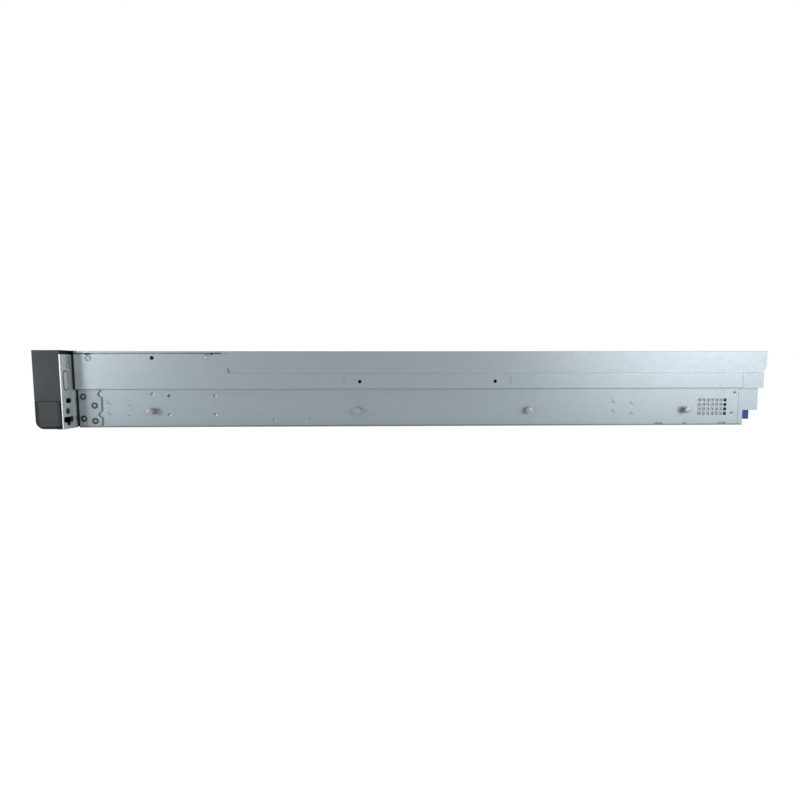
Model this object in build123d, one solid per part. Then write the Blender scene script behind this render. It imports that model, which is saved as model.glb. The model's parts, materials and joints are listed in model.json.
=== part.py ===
from build123d import *
import math
import os

# A two-unit rack server, in millimetres.
# X runs across the rack, Y from the front to the rear, Z upwards.
# Distances along Y are measured from the front edge of the steel chassis,
# and every piece is moved to the centre of the whole length when it is saved.
# Three sizes drive most others: the width across the ears, the height of the
# body and the place of the hood's rear edge.
flange_width = 482.6
chassis_height = 86.8
hood_rear = 795.7

# Chassis
ear_reach = 17.8             # an ear stands this far out from the body
side_step = 4.1              # the upper band stands this proud of the lower side
sheet = 1.2                  # chassis sheet steel
bend = 1.8                   # outside radius of a bend
seam_gap = 0.3
pan_rim = 1.0                # the floor's upturned rim, inside the side walls
rim_height = 9.0
rear_reach = 3.1             # from the upper rear wall to the hood's rear edge
cheek_reach = 3.6            # from the lower cheek's rear edge to the upper rear wall
rear_step = 21.2             # from the lower rear wall to the upper one
rear_flange = 5.7            # from the end of the lower side to the lower rear wall
seam_shift = 2.1             # the upper seam lies this far behind the lower one
cheek_foot = 17.6            # height at which the lower cheek steps back
chassis_width = flange_width - 2 * ear_reach
half = chassis_width / 2
flange_half = flange_width / 2
low_half = half - side_step
step_height = chassis_height / 2 + seam_gap
upper_rear = hood_rear - rear_reach
cheek_rear = upper_rear - cheek_reach
lower_rear = upper_rear - rear_step
seam_low = lower_rear - rear_flange
seam_high = seam_low + seam_shift
wall_foot = sheet + seam_gap

# Front cover and hood
cover_rear = 163.8
cover_lap = 1.9              # the front cover's side flange reaches this far down
cover_slit = 1.2             # dark slit between that flange and the side wall
hood_gap = 0.3
hood_lip = 6.8               # the lip reaches this far in front of the skirt
skirt_height = 24.8
hood_corner = 8.0            # radius of the skirt's lower front corner
hood_taper = 3.0             # the skirt's rear edge slants forward by this
taper_start = 15.1           # from the top down to where that slant begins
rear_lip = 11.1              # the hood's rear lip hangs this far down
cover_edge = chassis_height - cover_lap
front_wall_top = cover_edge - cover_slit
hood_front = cover_rear + hood_lip + hood_gap
hood_skirt_edge = chassis_height - skirt_height
hood_underside = chassis_height - sheet
hood_wall_top = hood_underside - hood_gap
hood_lip_edge = front_wall_top + hood_gap
inner_half = half - sheet - hood_gap
band_middle = (step_height + hood_skirt_edge) / 2

# Hood latch
latch_front = 262.0
latch_length = 92.0
latch_width = 58.0
latch_pocket_depth = 8.6
latch_thick = 3.0
latch_sink = 0.3             # the latch lies this far below the hood's top
latch_rib = 2.0
latch_rib_drop = 1.5
latch_rib_start = 6.0
latch_barrel = 3.6
latch_round = 3.0
latch_pin_radius = 1.5
latch_pin_inset = 5.0
latch_pin_depth = 4.0
latch_gap = 0.6
grip_length = 30.0
grip_width = 14.0
grip_round = 4.0
grip_start = 9.0

# Rack ears
flange_thick = 1.2
flange_rear = 3.8            # the flange lies this far in front of the chassis
flange_lap = 1.5             # the flange's inner edge lies inside the upper side
flange_drop = 4.0            # from the top of the body to the flange's top edge
ear_depth = 34.4
ear_overlap = 7.1            # an ear covers this much of the body's front
ear_rise = 0.6               # the ear stands this far above the body
ear_foot = 0.2
ear_seam = 31.0              # height of the seam above the release lever
ear_wall = 2.0
ear_round = 1.2
ear_gap = 0.1
leg_length = 26.3
leg_thick = 1.8
leg_foot = 1.5
leg_gap = 0.7                # from the leg's top edge to the step
leg_round = 3.0
strip_front = 0.9            # the black strip starts this far in front of the body
strip_rear = 1.6
strip_thick = 0.5
ear_pin_radius = 1.1
ear_barrel_radius = 2.5
pin_inset = 0.2
lug_height = 2.4
lug_gap = 0.4
lever_corner = 9.0
lever_front_gap = 0.4
lever_play = 0.15
arm_clear = 5.4
deep_window = 8.0
ear_inner = half - ear_overlap
ear_top = chassis_height + ear_rise
flange_top = chassis_height - flange_drop
flange_edge = half - flange_lap
flange_front = -flange_rear - flange_thick
leg_outer = low_half + leg_thick
leg_top = step_height - leg_gap
ear_middle = (ear_inner + flange_half) / 2

# Cut-outs of the ear flange, from its outer edge and from the bottom
slot_place = (7.6, 54.0)
slot_size = (6.6, 21.0)
slot_recess = 0.7
window_place = (11.3, 31.6)
window_size = (9.6, 5.6)
window_round = 1.0
rack_screw_in = 9.3
rack_screw_z = 19.8
rack_hole_length = 8.0
rack_hole_height = 6.8
rack_screw_radius = 2.9
rack_head_radius = 4.6
rack_head_length = 5.0
rack_screw_length = 22.0
cross_place = (10.1, 10.5)
cross_size = (17.6, 6.2)
cross_round = 1.8
cross_drop = 3.3
cross_radius = 4.0
ring_marks = ((12.9, 77.2), (12.9, 70.6))
ring_radius = 3.0
ring_line = 0.5
ring_depth = 0.3

# Buttons and front sockets of the ears
button_radius = 4.6
button_bore_gap = 0.15
button_depth = 6.0
button_sink = 0.1            # a button's face lies this far inside the ear's
button_travel = 0.8
power_button_drop = 15.4
uid_button_drop = 31.4
uid_button_radius = 3.0
lamp_drop = 44.4
lamp_width = 8.0
lamp_height = 2.0
lamp_depth = 1.0
front_socket_drops = (18.4, 35.4)
front_socket_width = 6.8
front_socket_height = 13.0
front_socket_depth = 14.0
front_tongue = 1.8
front_tongue_inset = 1.0

# Drive bays
bay_columns = 4
bay_rows = 3
bay_side_room = 7.5
bay_head_room = 2.8
divider_thick = 1.0
ledge_thick = 0.6
ledge_width = 2.2
cage_length = 150.0
slide_gap = 0.3
carrier_side_gap = 1.2
bezel_gap = 0.8
bezel_front = 24.0           # the bezel's face lies this far in front of the chassis
bezel_rear = 4.0
bezel_bar = 5.4              # height of the bars above and below the lever
bezel_side = 3.2
bezel_wall = 1.5
bezel_round = 1.2
bezel_sink = 0.2
web_thick = 1.6
web_clear = 2.4
web_slots = 6
web_slot_share = 0.76
web_slot_edge = 2.0
tray_thick = 0.8
tray_window_side = 16.0
tray_window_end = 14.0
rail_drop = 9.0
rail_gap = 0.15
drive_side = 2.0             # rail beside the drive
drive_length = 147.0
drive_clear = 1.9
drive_start = 2.0
drive_lid_step = 2.5
drive_lid_inset = 1.5
drive_lid_end = 12.0
drive_socket_wall = (12.0, 30.0)
drive_socket_depth = 4.0
drive_socket_span = (2.0, 9.0)
drive_seat = 0.02
lever_thick = 6.0
lever_set_back = 1.0         # a drive lever's face lies this far behind its bezel's
lever_wall = 2.0
lever_edge = 1.6
lever_pin_radius = 1.1
lever_pin_room = 6.0
lever_fit = 0.05
lever_gap = 0.4
lever_slots = 7
lever_slot_width = 7.0
lever_slot_height = 6.0
lever_slot_start = 20.0
lever_slot_end = 8.0
thumb_start = 4.0
thumb_length = 10.0
thumb_depth = 1.2
thumb_edge = 3.0
column_pitch = (chassis_width - 2 * bay_side_room) / bay_columns
row_pitch = (chassis_height - bay_head_room) / bay_rows
carrier_width = column_pitch - 2 * carrier_side_gap
drive_width = carrier_width - 2 * drive_side
drive_height = row_pitch - drive_clear
bezel_height = row_pitch - bezel_gap
bezel_low = -(bezel_height - drive_height - tray_thick + bezel_sink) / 2
rail_height = row_pitch - rail_drop
bay_floor = sheet + ledge_thick + slide_gap

# Backplane
backplane_thick = 2.4
backplane_side = 1.0
backplane_head = 2.0
air_slot_room = 28.0         # an air slot is this much shorter than a bay column is wide
air_slot_height = 7.0
air_slot_drop = 4.0
socket_depth = 7.5
socket_length = 52.0
socket_height = 6.0
socket_inset = 14.0
socket_lift = 2.4
cable_socket_length = 20.0
cable_socket_depth = 9.0
cable_socket_span = (30.0, 42.0)

# Fans
fan_head_room = 6.8
fan_depth = 38.0
fan_front = 190.0
fan_wall = 1.5
fan_tip_gap = 0.9
fan_hub_radius = 18.0
fan_blades = 7
fan_shaft_radius = 3.0
fan_shaft_length = 16.0
fan_round = 4.0
fan_lift = 0.6
fan_plate = 4.0
fan_strut = 3.0
fan_rotor_room = 9.0
fan_rotor_shift = 3.0
fan_chord = 30.0
fan_tab_width = 24.0
fan_tab_height = 2.4
fan_tab_depth = 16.0
blade_root_share = 0.72
blade_root_pitch = 48
blade_tip_pitch = 30
blade_camber = 0.1
blade_root_thick = 2.2
blade_tip_thick = 1.2
blade_lap = 1.5
fan_size = chassis_height - fan_head_room
fan_bore_radius = fan_size / 2 - fan_wall

# Mainboard and what stands on it
board_lift = 6.0
board_thick = 1.8
board_front = 240.0
board_rear_room = 3.4
board_margin = 4.0           # between the board and the side walls
board_post_radius = 3.0
post_inset = 8.0
notch_clear = 14.0
psu_socket_length = 48.0
psu_socket_depth = 12.0
psu_socket_height = 22.0
chip_blocks = (
    # left edge, width, distance in front of the rear wall, length, height
    (-120.0, 36.0, 211.4, 40.0, 9.0),
    (-40.0, 46.0, 161.4, 30.0, 5.0),
    (20.0, 20.0, 181.4, 20.0, 4.0),
    (-180.0, 12.0, 190.0, 60.0, 11.0),
    (-160.0, 12.0, 190.0, 60.0, 11.0),
)
socket_in = 10.0             # a processor lies this far inside the middle of its bay column
sink_in = 30.0               # a cooler is this much narrower than a bay column
sink_length = 108.0
sink_start = 300.0
sink_head_room = 24.8
sink_fins = 13
fin_thick = 1.0
sink_base = 5.0
package_side = 30.0
package_inset = 20.0
package_height = 6.0
memory_length = 133.4
memory_height = 31.0
memory_thick = 3.2
memory_pitch = 9.0
memory_per_bank = 4
memory_bank_gap = 8.0
memory_lead = 12.0
memory_key_start = 60.0
memory_key = 3.0
memory_key_depth = 4.0
memory_socket_end = 4.0
memory_socket_height = 9.0
memory_socket_width = 6.4
memory_socket_floor = 3.0
memory_socket_play = 0.1
duct_front = 232.0
duct_rear = 424.0
duct_wall = 1.6
duct_side = 3.6
duct_clear = 1.2
duct_foot = 0.3
duct_bridge = 60.0
board_rear = lower_rear - board_rear_room
board_top = sheet + board_lift + board_thick
socket_x = column_pitch - socket_in
sink_width = column_pitch - sink_in
sink_height = chassis_height - sink_head_room

# Rear sockets: middle, width, lower and upper edge; the middle is in socket pitches
port_share = 0.0425          # a socket pitch as a share of the body's width
port_pitch = chassis_width * port_share
port_rows = {
    "network_1": (-3.0, 15.6, 12.0, 25.4),
    "network_2": (-2.0, 15.6, 12.0, 25.4),
    "usb_1": (-0.8, 13.8, 12.0, 19.0),
    "usb_2": (-0.8, 13.8, 21.0, 28.0),
    "management": (0.4, 15.6, 12.0, 25.4),
    "video": (1.9, 31.0, 12.0, 24.4),
}
port_depth = 15.0
port_wall = 0.7
port_play = 0.3
port_proud = 0.4
card_slot_in = 23.4          # from the outer side of the lower body
card_slot_end = 78.0         # its inner edge, from the middle plane
card_slot_span = (12.0, 37.0)
card_slot_depth = 110.0
card_cage_width = 14.0
card_cage_depth = 14.0
card_cage_span = (5.0, 18.0)
card_cages = (24.0, 56.0)
card_foot = 10.0

# Power supplies
psu_share = 0.16443          # width of a unit as a share of the body's width
psu_clearance = 3.7          # from the top of a unit to the step
psu_length = 185.0
psu_face_room = 0.4
psu_wall_room = 4.0          # from the outer unit to the side wall
psu_gap = 2.4                # between the two units
psu_lift = 0.3
psu_fan_share = 0.231        # these four are shares of a unit's width
psu_fan_place = 0.127
psu_inlet_place = -0.284
psu_split_place = -0.1134
psu_fan_depth = 16.0
psu_boss = 7.0
psu_hub = 2.0
psu_rotor_rest = 9.0         # angle at which the rotor stands still
psu_rotor_stand = 0.5
psu_rotor_hub = 6.0
psu_rotor_length = 9.0
psu_rotor_gap = 0.7
psu_rotor_chord = 14.0
psu_rotor_blades = 5
guard_thick = 1.2
guard_bar = 1.6
guard_ring = (9.4, 11.0)
inlet_side = 4.0
psu_inlet_height = 16.5
psu_inlet_depth = 14.0
inlet_pins = ((0, 2.0), (-7.0, -2.0), (7.0, -2.0))
inlet_pin_width = 2.0
inlet_pin_height = 4.0
inlet_pin_sink = 4.0
psu_latch_pin_y = 13.0       # from the unit's face forwards
psu_latch_in = 4.4
psu_latch_z = 6.3
psu_latch_height = 12.1
psu_latch_reach = 13.0
psu_latch_barrel = 2.4
psu_latch_pin = 1.0
psu_latch_arm = 2.8
psu_latch_tab = (3.0, 2.4)
psu_latch_play = 0.5
tab_gap = 1.6
tab_join = 3.0
tab_round = 1.2
latch_pocket_room = (9.4, 1.0)
latch_pocket_lead = 4.0
latch_pocket_wall = 0.3
handle_thick = 2.5
handle_bar = 4.0
handle_width = 31.0
handle_drop = 30.0
handle_pivot_drop = 5.5
handle_pin_radius = 1.0
handle_stand = 3.4           # from the unit's face to the middle of the handle
lug_thick = 2.0
lug_side = 0.3
lug_half = 3.0
lug_end = 2.6
psu_width = chassis_width * psu_share
psu_height = step_height - psu_clearance
psu_face = lower_rear - psu_face_room
psu_front = psu_face - psu_length
psu_fan_radius = psu_width * psu_fan_share
psu_fan_x = psu_width * psu_fan_place
psu_inlet_x = psu_width * psu_inlet_place
psu_split_x = psu_width * psu_split_place
psu_inlet_width = 2 * (psu_width / 2 + psu_inlet_x - inlet_side)
psu_outer_edge = low_half - sheet - psu_wall_room
psu_middle_z = sheet + psu_lift + psu_height / 2
psu_roof = sheet + psu_height + 2 * psu_lift
handle_pivot_z = sheet + psu_lift + psu_height - handle_pivot_drop

# Rear modules
riser_count = 3
riser_side_room = 6.0
riser_gap = 7.0
riser_length = 190.0
riser_lip = 14.0
slot_side = 10.0
slot_clear = 0.3
slot_rim = 4.0
slot_edge = 2.0
slots_per_riser = 2
slot_holes = 9
slot_hole_share = 0.7
slot_hole_height = 6.0
slot_blank_end = 7.0
card_thick = 1.6
card_front = 6.0
card_rear = 8.0
card_socket_front = 16.0
card_socket_length = 90.0
card_socket_depth = 9.0
card_socket_height = 6.0
riser_pitch = (chassis_width - 2 * riser_side_room) / riser_count
riser_width = riser_pitch - riser_gap
slot_width = riser_width - 2 * slot_side
slot_base = step_height + sheet + 2 * slot_clear
slot_pitch = (hood_wall_top - slot_base - 6 * slot_clear) / slots_per_riser
slot_height = slot_pitch - 2 * slot_clear

# Side wall details
stud_front_y = (83.5, 318.0)
stud_rear_y = (250.0, 63.7)  # measured forwards from the lower seam
stud_z = 18.3
stud_neck_radius = 2.6
stud_neck = 5.6
stud_head_radius = 3.9
stud_head = 2.6
vent_start = 46.7            # from the lower seam forwards to the first column
vent_first_z = 13.6
vent_pitch_y = 5.15
vent_pitch_z = 5.3
vent_columns = 7
vent_rows = 4
vent_hole = 3.6
notch_height = 1.6
notches = ((99.9, 9.6), (66.3, 4.8), (24.3, 9.7))
cover_notches = ((12.3, 19.4), (145.6, 154.6))
cover_notch_depth = 1.1
band_holes = ((320.5, 52.0), (476.4, 52.2))
band_hole_radius = 2.0
cover_hole = (86.5, 4.6)
cover_hole_radius = 2.3
band_slots = (302.8, 494.0)
band_slot_width = 3.2
band_slot_height = 7.8
band_slot_depth = 0.6
peep_place = (102.1, 36.0)
peep_side = 2.6
dimples = ((15.6, 4.8), (149.3, 4.3))
dimple_radii = (1.8, 3.4)
dimple_depth = 0.9
rivet_places = (
    (83.0, 38.1), (101.8, 14.4), (153.9, 36.0), (153.9, 14.7), (220.6, 8.7), (262.2, 8.8),
)
rear_rivet_places = ((4.3, 37.9), (7.3, 13.6))
rivet_radii = (0.8, 2.4)
rivet_depth = 0.35
leg_screws = ((6.6, 35.4), (19.0, 25.3), (6.4, 10.2), (19.0, 7.5))
screw_head_radius = 3.6
screw_head_height = 1.3
screw_sink = 0.1
screw_play = 0.2
driver_slot = (1.0, 4.0, 0.7)
leg_scallops = ((26.0, 38.1), (26.1, 15.1))
scallop_radius = 3.4

middle = (hood_rear - ear_depth) / 2
slack = 1.0                  # a cutting shape runs this far past the surface it opens


def block(x0, x1, y0, y1, z0, z1):
    """A box between two opposite corners."""
    centre = Pos((x0 + x1) / 2, (y0 + y1) / 2, (z0 + z1) / 2)
    return centre * Box(x1 - x0, y1 - y0, z1 - z0)


def prism_x(outline, x0, x1):
    """An outline drawn in Y and Z, made solid from x0 to x1."""
    return extrude(Plane.YZ.offset(x0) * outline, amount=x1 - x0)


def prism_y(outline, y0, y1):
    """An outline drawn in X and Z, made solid from y0 to y1."""
    return extrude(Plane.XZ.offset(-y1) * outline, amount=y1 - y0)


def prism_z(outline, z0, z1):
    """An outline drawn in X and Y, made solid from z0 to z1."""
    return extrude(Plane.XY.offset(z0) * outline, amount=z1 - z0)


def rod_x(y, z, radius, x0, x1):
    return prism_x(Pos(y, z) * Circle(radius), x0, x1)


def rod_y(x, z, radius, y0, y1):
    return prism_y(Pos(x, z) * Circle(radius), y0, y1)


def rod_z(x, y, radius, z0, z1):
    return prism_z(Pos(x, y) * Circle(radius), z0, z1)


def panel(x0, x1, y0, y1, round_radius=0.0):
    """A rectangle between two opposite corners, with round corners if asked."""
    width, height = x1 - x0, y1 - y0
    if round_radius > 0:
        shape = RectangleRounded(width, height, round_radius)
    else:
        shape = Rectangle(width, height)
    return Pos((x0 + x1) / 2, (y0 + y1) / 2) * shape


def window(middle, width, height, round_radius=0.0):
    """A rectangle about its middle point, with round corners if asked."""
    x, z = middle
    return panel(x - width / 2, x + width / 2, z - height / 2, z + height / 2, round_radius)


def other_side(solid):
    """The same piece on the other side of the middle plane."""
    return mirror(solid, about=Plane.YZ)


def save(name, *solids):
    """Move the solids to the part's own frame and write them as one node."""
    placed = [Pos(0, -middle, 0) * solid for solid in solids]
    shape = placed[0] if len(placed) == 1 else Compound(placed)
    export_step(shape, f"parts/{name}.step")


def front_wall_section():
    """The side wall in front of the hood: lower side, step and upper band."""
    points = [
        (low_half, wall_foot), (low_half, step_height), (half, step_height),
        (half, front_wall_top), (half - sheet, front_wall_top),
        (half - sheet, step_height + sheet), (low_half - sheet, step_height + sheet),
        (low_half - sheet, wall_foot),
    ]
    return Polygon(*points, align=None)


def hood_wall_section():
    """The side wall under the hood: its top is set in to let the skirt lie flush."""
    rise = hood_skirt_edge - hood_gap
    points = [
        (low_half, wall_foot), (low_half, step_height), (half, step_height), (half, rise),
        (inner_half, rise), (inner_half, hood_wall_top),
        (inner_half - sheet, hood_wall_top), (inner_half - sheet, rise - sheet),
        (half - sheet, rise - sheet), (half - sheet, step_height + sheet),
        (low_half - sheet, step_height + sheet), (low_half - sheet, wall_foot),
    ]
    return Polygon(*points, align=None)


def soften_step(wall):
    """Round the outer edges of the step."""
    edges = [
        e for e in wall.edges().filter_by(Axis.Y)
        if abs(e.center().Z - step_height) < seam_gap and e.center().X > half - seam_gap
    ]
    return fillet(edges, bend - sheet)


def vent_cuts():
    """The grid of square holes near the rear of the lower side."""
    cuts = []
    for column in range(vent_columns):
        for row in range(vent_rows):
            y = seam_low - vent_start + column * vent_pitch_y
            z = vent_first_z + row * vent_pitch_z
            cuts.append(prism_x(window((y, z), vent_hole, vent_hole), low_half - 2 * sheet,
                                low_half + slack))
    return cuts


def rivet_cuts():
    """Flush rivets in the lower side: a shallow ring with a small hole in its middle."""
    places = list(rivet_places)
    places += [(seam_low - inset, z) for inset, z in rear_rivet_places]
    hole, ring = rivet_radii
    cuts = []
    for y, z in places:
        dish = Cone(hole, 2 * ring - hole, 2 * rivet_depth)
        cuts.append(Pos(low_half, y, z) * Rot(0, 90, 0) * dish)
        cuts.append(rod_x(y, z, hole, low_half - sheet - slack, low_half + slack))
    return cuts


def band_cuts():
    """Holes, dimples and shallow slots of the upper band."""
    through = (half - sheet - slack, half + slack)
    cuts = []
    for y, z in band_holes:
        cuts.append(rod_x(y, z, band_hole_radius, *through))
    y, drop = cover_hole
    cuts.append(rod_x(y, front_wall_top - drop, cover_hole_radius, *through))
    for y in band_slots:
        slot = window((y, band_middle), band_slot_width, band_slot_height)
        cuts.append(prism_x(slot, half - band_slot_depth, half + slack))
    for start, end in cover_notches:
        cuts.append(block(*through, start, end, front_wall_top - cover_notch_depth,
                          front_wall_top + slack))
    inner, outer = dimple_radii
    for y, drop in dimples:
        dimple = Rot(0, 90, 0) * Cone(inner, 2 * outer - inner, 2 * dimple_depth)
        cuts.append(Pos(half, y, front_wall_top - drop) * dimple)
    return cuts


def side_wall():
    """The right side wall with its holes, slots and notches."""
    wall = prism_y(front_wall_section(), 0, hood_front)
    wall += prism_y(hood_wall_section(), hood_front, seam_low)
    step_only = hood_wall_section() & panel(low_half, half, step_height, hood_wall_top)
    wall += prism_y(step_only, seam_low, seam_high)
    wall = soften_step(wall)
    cuts = vent_cuts() + rivet_cuts() + band_cuts()
    for start, length in notches:
        front = seam_low - start
        cuts.append(block(low_half - 2 * sheet, half, front, front + length,
                          wall_foot - slack, wall_foot + notch_height))
    peep = Pos(*peep_place) * RegularPolygon(peep_side, 3, rotation=90)
    cuts.append(prism_x(peep, low_half - 2 * sheet, low_half + slack))
    return wall - cuts


def base_pan():
    """The floor of the chassis, with an upturned rim welded inside each side wall."""
    pan = block(-low_half, low_half, 0, lower_rear, 0, sheet)
    inside = low_half - sheet
    rim = block(inside - pan_rim, inside, 0, seam_low, 0, rim_height)
    return pan + rim + other_side(rim)


def psu_centre(number):
    """Middle plane of a power supply, the first being the outer one."""
    outer = psu_outer_edge - psu_width / 2
    return outer - (number - 1) * (psu_width + psu_gap)


def bay_inside():
    """Outer side of the sheet wall between the power supplies and the rear sockets."""
    return psu_centre(2) - psu_width / 2 - psu_gap / 2 - sheet


def riser_centre(number):
    return (number - (riser_count - 1) / 2) * riser_pitch


def slot_bottom(row):
    """Lower edge of a rear slot cover."""
    return slot_base + row * slot_pitch


def ports():
    """Left, right, lower and upper edge of every rear socket, by name."""
    edges = {}
    for name, (place, width, low, high) in port_rows.items():
        x = place * port_pitch
        edges[name] = (x - width / 2, x + width / 2, low, high)
    return edges


def card_slot():
    """Left, right, lower and upper edge of the plug-in network card."""
    return -low_half + card_slot_in, -card_slot_end, *card_slot_span


def lower_rear_walls():
    """The lower rear wall with its socket windows, and the one round the power supplies."""
    front, rear = lower_rear - sheet, lower_rear
    inside = low_half - sheet
    wall = block(-inside, bay_inside(), front, rear, sheet, step_height)
    for x0, x1, z0, z1 in [*ports().values(), card_slot()]:
        wall -= block(x0 - port_play, x1 + port_play, front - slack, rear + slack,
                      z0 - port_play, z1 + port_play)
    psu_wall = block(bay_inside(), inside, front, rear, sheet, step_height)
    side = psu_width / 2 + psu_lift
    for number in (1, 2):
        x = psu_centre(number)
        psu_wall -= block(x - side, x + side, front - slack, rear + slack, sheet, psu_roof)
    return [wall, psu_wall]


def upper_rear_walls():
    """The shelf over the sockets and the upper rear wall with its slot windows."""
    shelf = block(-half, half, lower_rear - sheet, upper_rear, step_height,
                  step_height + sheet)
    strip = block(low_half - sheet, half, seam_high + seam_gap, upper_rear, step_height,
                  step_height + sheet)
    shelf += strip + other_side(strip)
    inside = inner_half - sheet
    rise = hood_skirt_edge - hood_gap - sheet
    wall = block(-half + sheet, half - sheet, upper_rear - sheet, upper_rear,
                 step_height + sheet, rise)
    wall += block(-inside, inside, upper_rear - sheet, upper_rear, rise, hood_wall_top)
    top = slot_bottom(slots_per_riser - 1) + slot_height + slot_clear
    side = slot_width / 2 + slot_clear
    for number in range(riser_count):
        x = riser_centre(number)
        wall -= block(x - side, x + side, upper_rear - sheet - slack, upper_rear + slack,
                      slot_bottom(0) - slot_clear, top)
    return [shelf, wall]


def rear_cheeks():
    """The right side pieces of the rear frame: the stepped lower one and the upper one."""
    front = seam_low + seam_gap
    points = [
        (front, wall_foot), (lower_rear, wall_foot), (lower_rear, cheek_foot),
        (cheek_rear, cheek_foot), (cheek_rear, step_height), (front, step_height),
    ]
    lower = prism_x(Polygon(*points, align=None), low_half - sheet, low_half)
    front = seam_high + seam_gap
    base = step_height + sheet
    rise = hood_skirt_edge - hood_gap
    upper = block(half - sheet, half, front, upper_rear, base, rise)
    upper += block(inner_half - sheet, half, front, upper_rear, rise - sheet, rise)
    upper += block(inner_half - sheet, inner_half, front, upper_rear, rise - sheet,
                   hood_wall_top)
    return [lower, upper]


def psu_bay():
    """Sheet walls beside, between and over the power supplies."""
    rear = lower_rear - sheet
    middle_x = (psu_centre(1) + psu_centre(2)) / 2
    inner = bay_inside()
    wall = block(inner, inner + sheet, psu_front, rear, sheet, psu_roof)
    divider = block(middle_x - sheet / 2, middle_x + sheet / 2, psu_front, rear, sheet,
                    psu_roof)
    roof = block(inner, low_half - sheet, psu_front, rear, psu_roof, psu_roof + sheet)
    return [wall, divider, roof]


def rear_frame():
    cheeks = rear_cheeks()
    return [*lower_rear_walls(), *upper_rear_walls(), *cheeks,
            *[other_side(cheek) for cheek in cheeks], *psu_bay()]


def soften_top(cover):
    """Round the long outer edges of a cover's top."""
    edges = cover.edges().filter_by(Axis.Y).filter_by(
        lambda e: e.center().Z > chassis_height - seam_gap
        and abs(e.center().X) > half - seam_gap)
    return fillet(edges, bend - sheet)


def front_cover():
    """The fixed cover over the drive bays, with a lip between the ears."""
    cover = block(-half, half, 0, cover_rear, hood_underside, chassis_height)
    for x in (-half, half - sheet):
        cover += block(x, x + sheet, 0, cover_rear, cover_edge, hood_underside)
    cover = soften_top(cover)
    reach = ear_inner - seam_gap
    return cover + block(-reach, reach, -flange_rear + seam_gap, 0, hood_underside,
                         chassis_height)


def hood_outline():
    """The skirt of the hood, drawn in Y and Z."""
    points = [
        (hood_front, chassis_height), (hood_front, hood_skirt_edge),
        (hood_rear - hood_taper, hood_skirt_edge), (hood_rear, chassis_height - taper_start),
        (hood_rear, chassis_height),
    ]
    skirt = Polygon(*points, align=None)
    corner = [v for v in skirt.vertices()
              if v.X < hood_front + seam_gap and v.Y < hood_skirt_edge + seam_gap]
    return fillet(corner, hood_corner)


def latch_pin():
    """Axis of the hood latch, near its rear end."""
    return latch_front + latch_length - latch_pin_inset, chassis_height - latch_pin_depth


def top_hood():
    """The lift-off hood with its skirts, rear lip and the pocket of its latch."""
    lip_front = hood_front - hood_lip
    top = block(-half, half, lip_front, hood_rear, hood_underside, chassis_height)
    for x in (-half, half - sheet):
        top += prism_x(hood_outline(), x, x + sheet)
        top += block(x, x + sheet, lip_front, hood_front, hood_lip_edge, chassis_height)
    top += block(-half, half, hood_rear - sheet, hood_rear, chassis_height - rear_lip,
                 hood_underside)
    top = soften_top(top)
    side = latch_width / 2 + latch_gap
    floor = chassis_height - latch_pocket_depth
    front = latch_front - latch_gap
    rear = latch_front + latch_length + latch_gap
    top += block(-side - sheet, side + sheet, front - sheet, rear + sheet, floor - sheet,
                 hood_underside)
    top -= block(-side, side, front, rear, floor, chassis_height + slack)
    pin_y, pin_z = latch_pin()
    return top + rod_x(pin_y, pin_z, latch_pin_radius, -side, side)


def hood_latch():
    """The handle that lies flush in the hood and turns up about its rear pin."""
    side = latch_width / 2
    pin_y, pin_z = latch_pin()
    top = chassis_height - latch_sink
    latch = block(-side, side, latch_front, pin_y, top - latch_thick, top)
    latch += rod_x(pin_y, pin_z, latch_barrel, -side, side)
    for x in (-side, side - latch_rib):
        latch += block(x, x + latch_rib, latch_front + latch_rib_start, pin_y,
                       pin_z - latch_rib_drop, top)
    grip_middle = (0, latch_front + grip_start + grip_width / 2)
    grip = window(grip_middle, grip_length, grip_width, grip_round)
    latch -= prism_z(grip, top - latch_thick - slack, top + slack)
    front_edges = latch.edges().filter_by(Axis.Z).filter_by(
        lambda e: e.center().Y < latch_front + seam_gap)
    latch = fillet(front_edges, latch_round)
    bore = latch_pin_radius + lever_fit
    return latch - rod_x(pin_y, pin_z, bore, -side - slack, side + slack)


def flange_cuts():
    """Slots, windows and marks of the right flange, seen from behind."""
    rear = -flange_rear
    through = (flange_front - slack, rear + slack)

    def place(pair):
        return flange_half - pair[0], pair[1]

    slot = window(place(slot_place), *slot_size, slot_size[0] / 2 - ring_depth)
    screw_hole = window((flange_half - rack_screw_in, rack_screw_z), rack_hole_length,
                        rack_hole_height, rack_hole_height / 2 - ring_depth)
    cross_x, cross_z = place(cross_place)
    cuts = [
        prism_y(slot, rear - slot_recess, rear + slack),
        prism_y(window(place(window_place), *window_size, window_round), *through),
        prism_y(screw_hole, *through),
        prism_y(window((cross_x, cross_z), *cross_size, cross_round), *through),
        rod_y(cross_x, cross_z - cross_drop, cross_radius, *through),
    ]
    for mark in ring_marks:
        x, z = place(mark)
        ring = Pos(x, z) * (Circle(ring_radius) - Circle(ring_radius - ring_line))
        cuts.append(prism_y(ring, rear - ring_depth, rear + slack))
    return cuts


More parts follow.
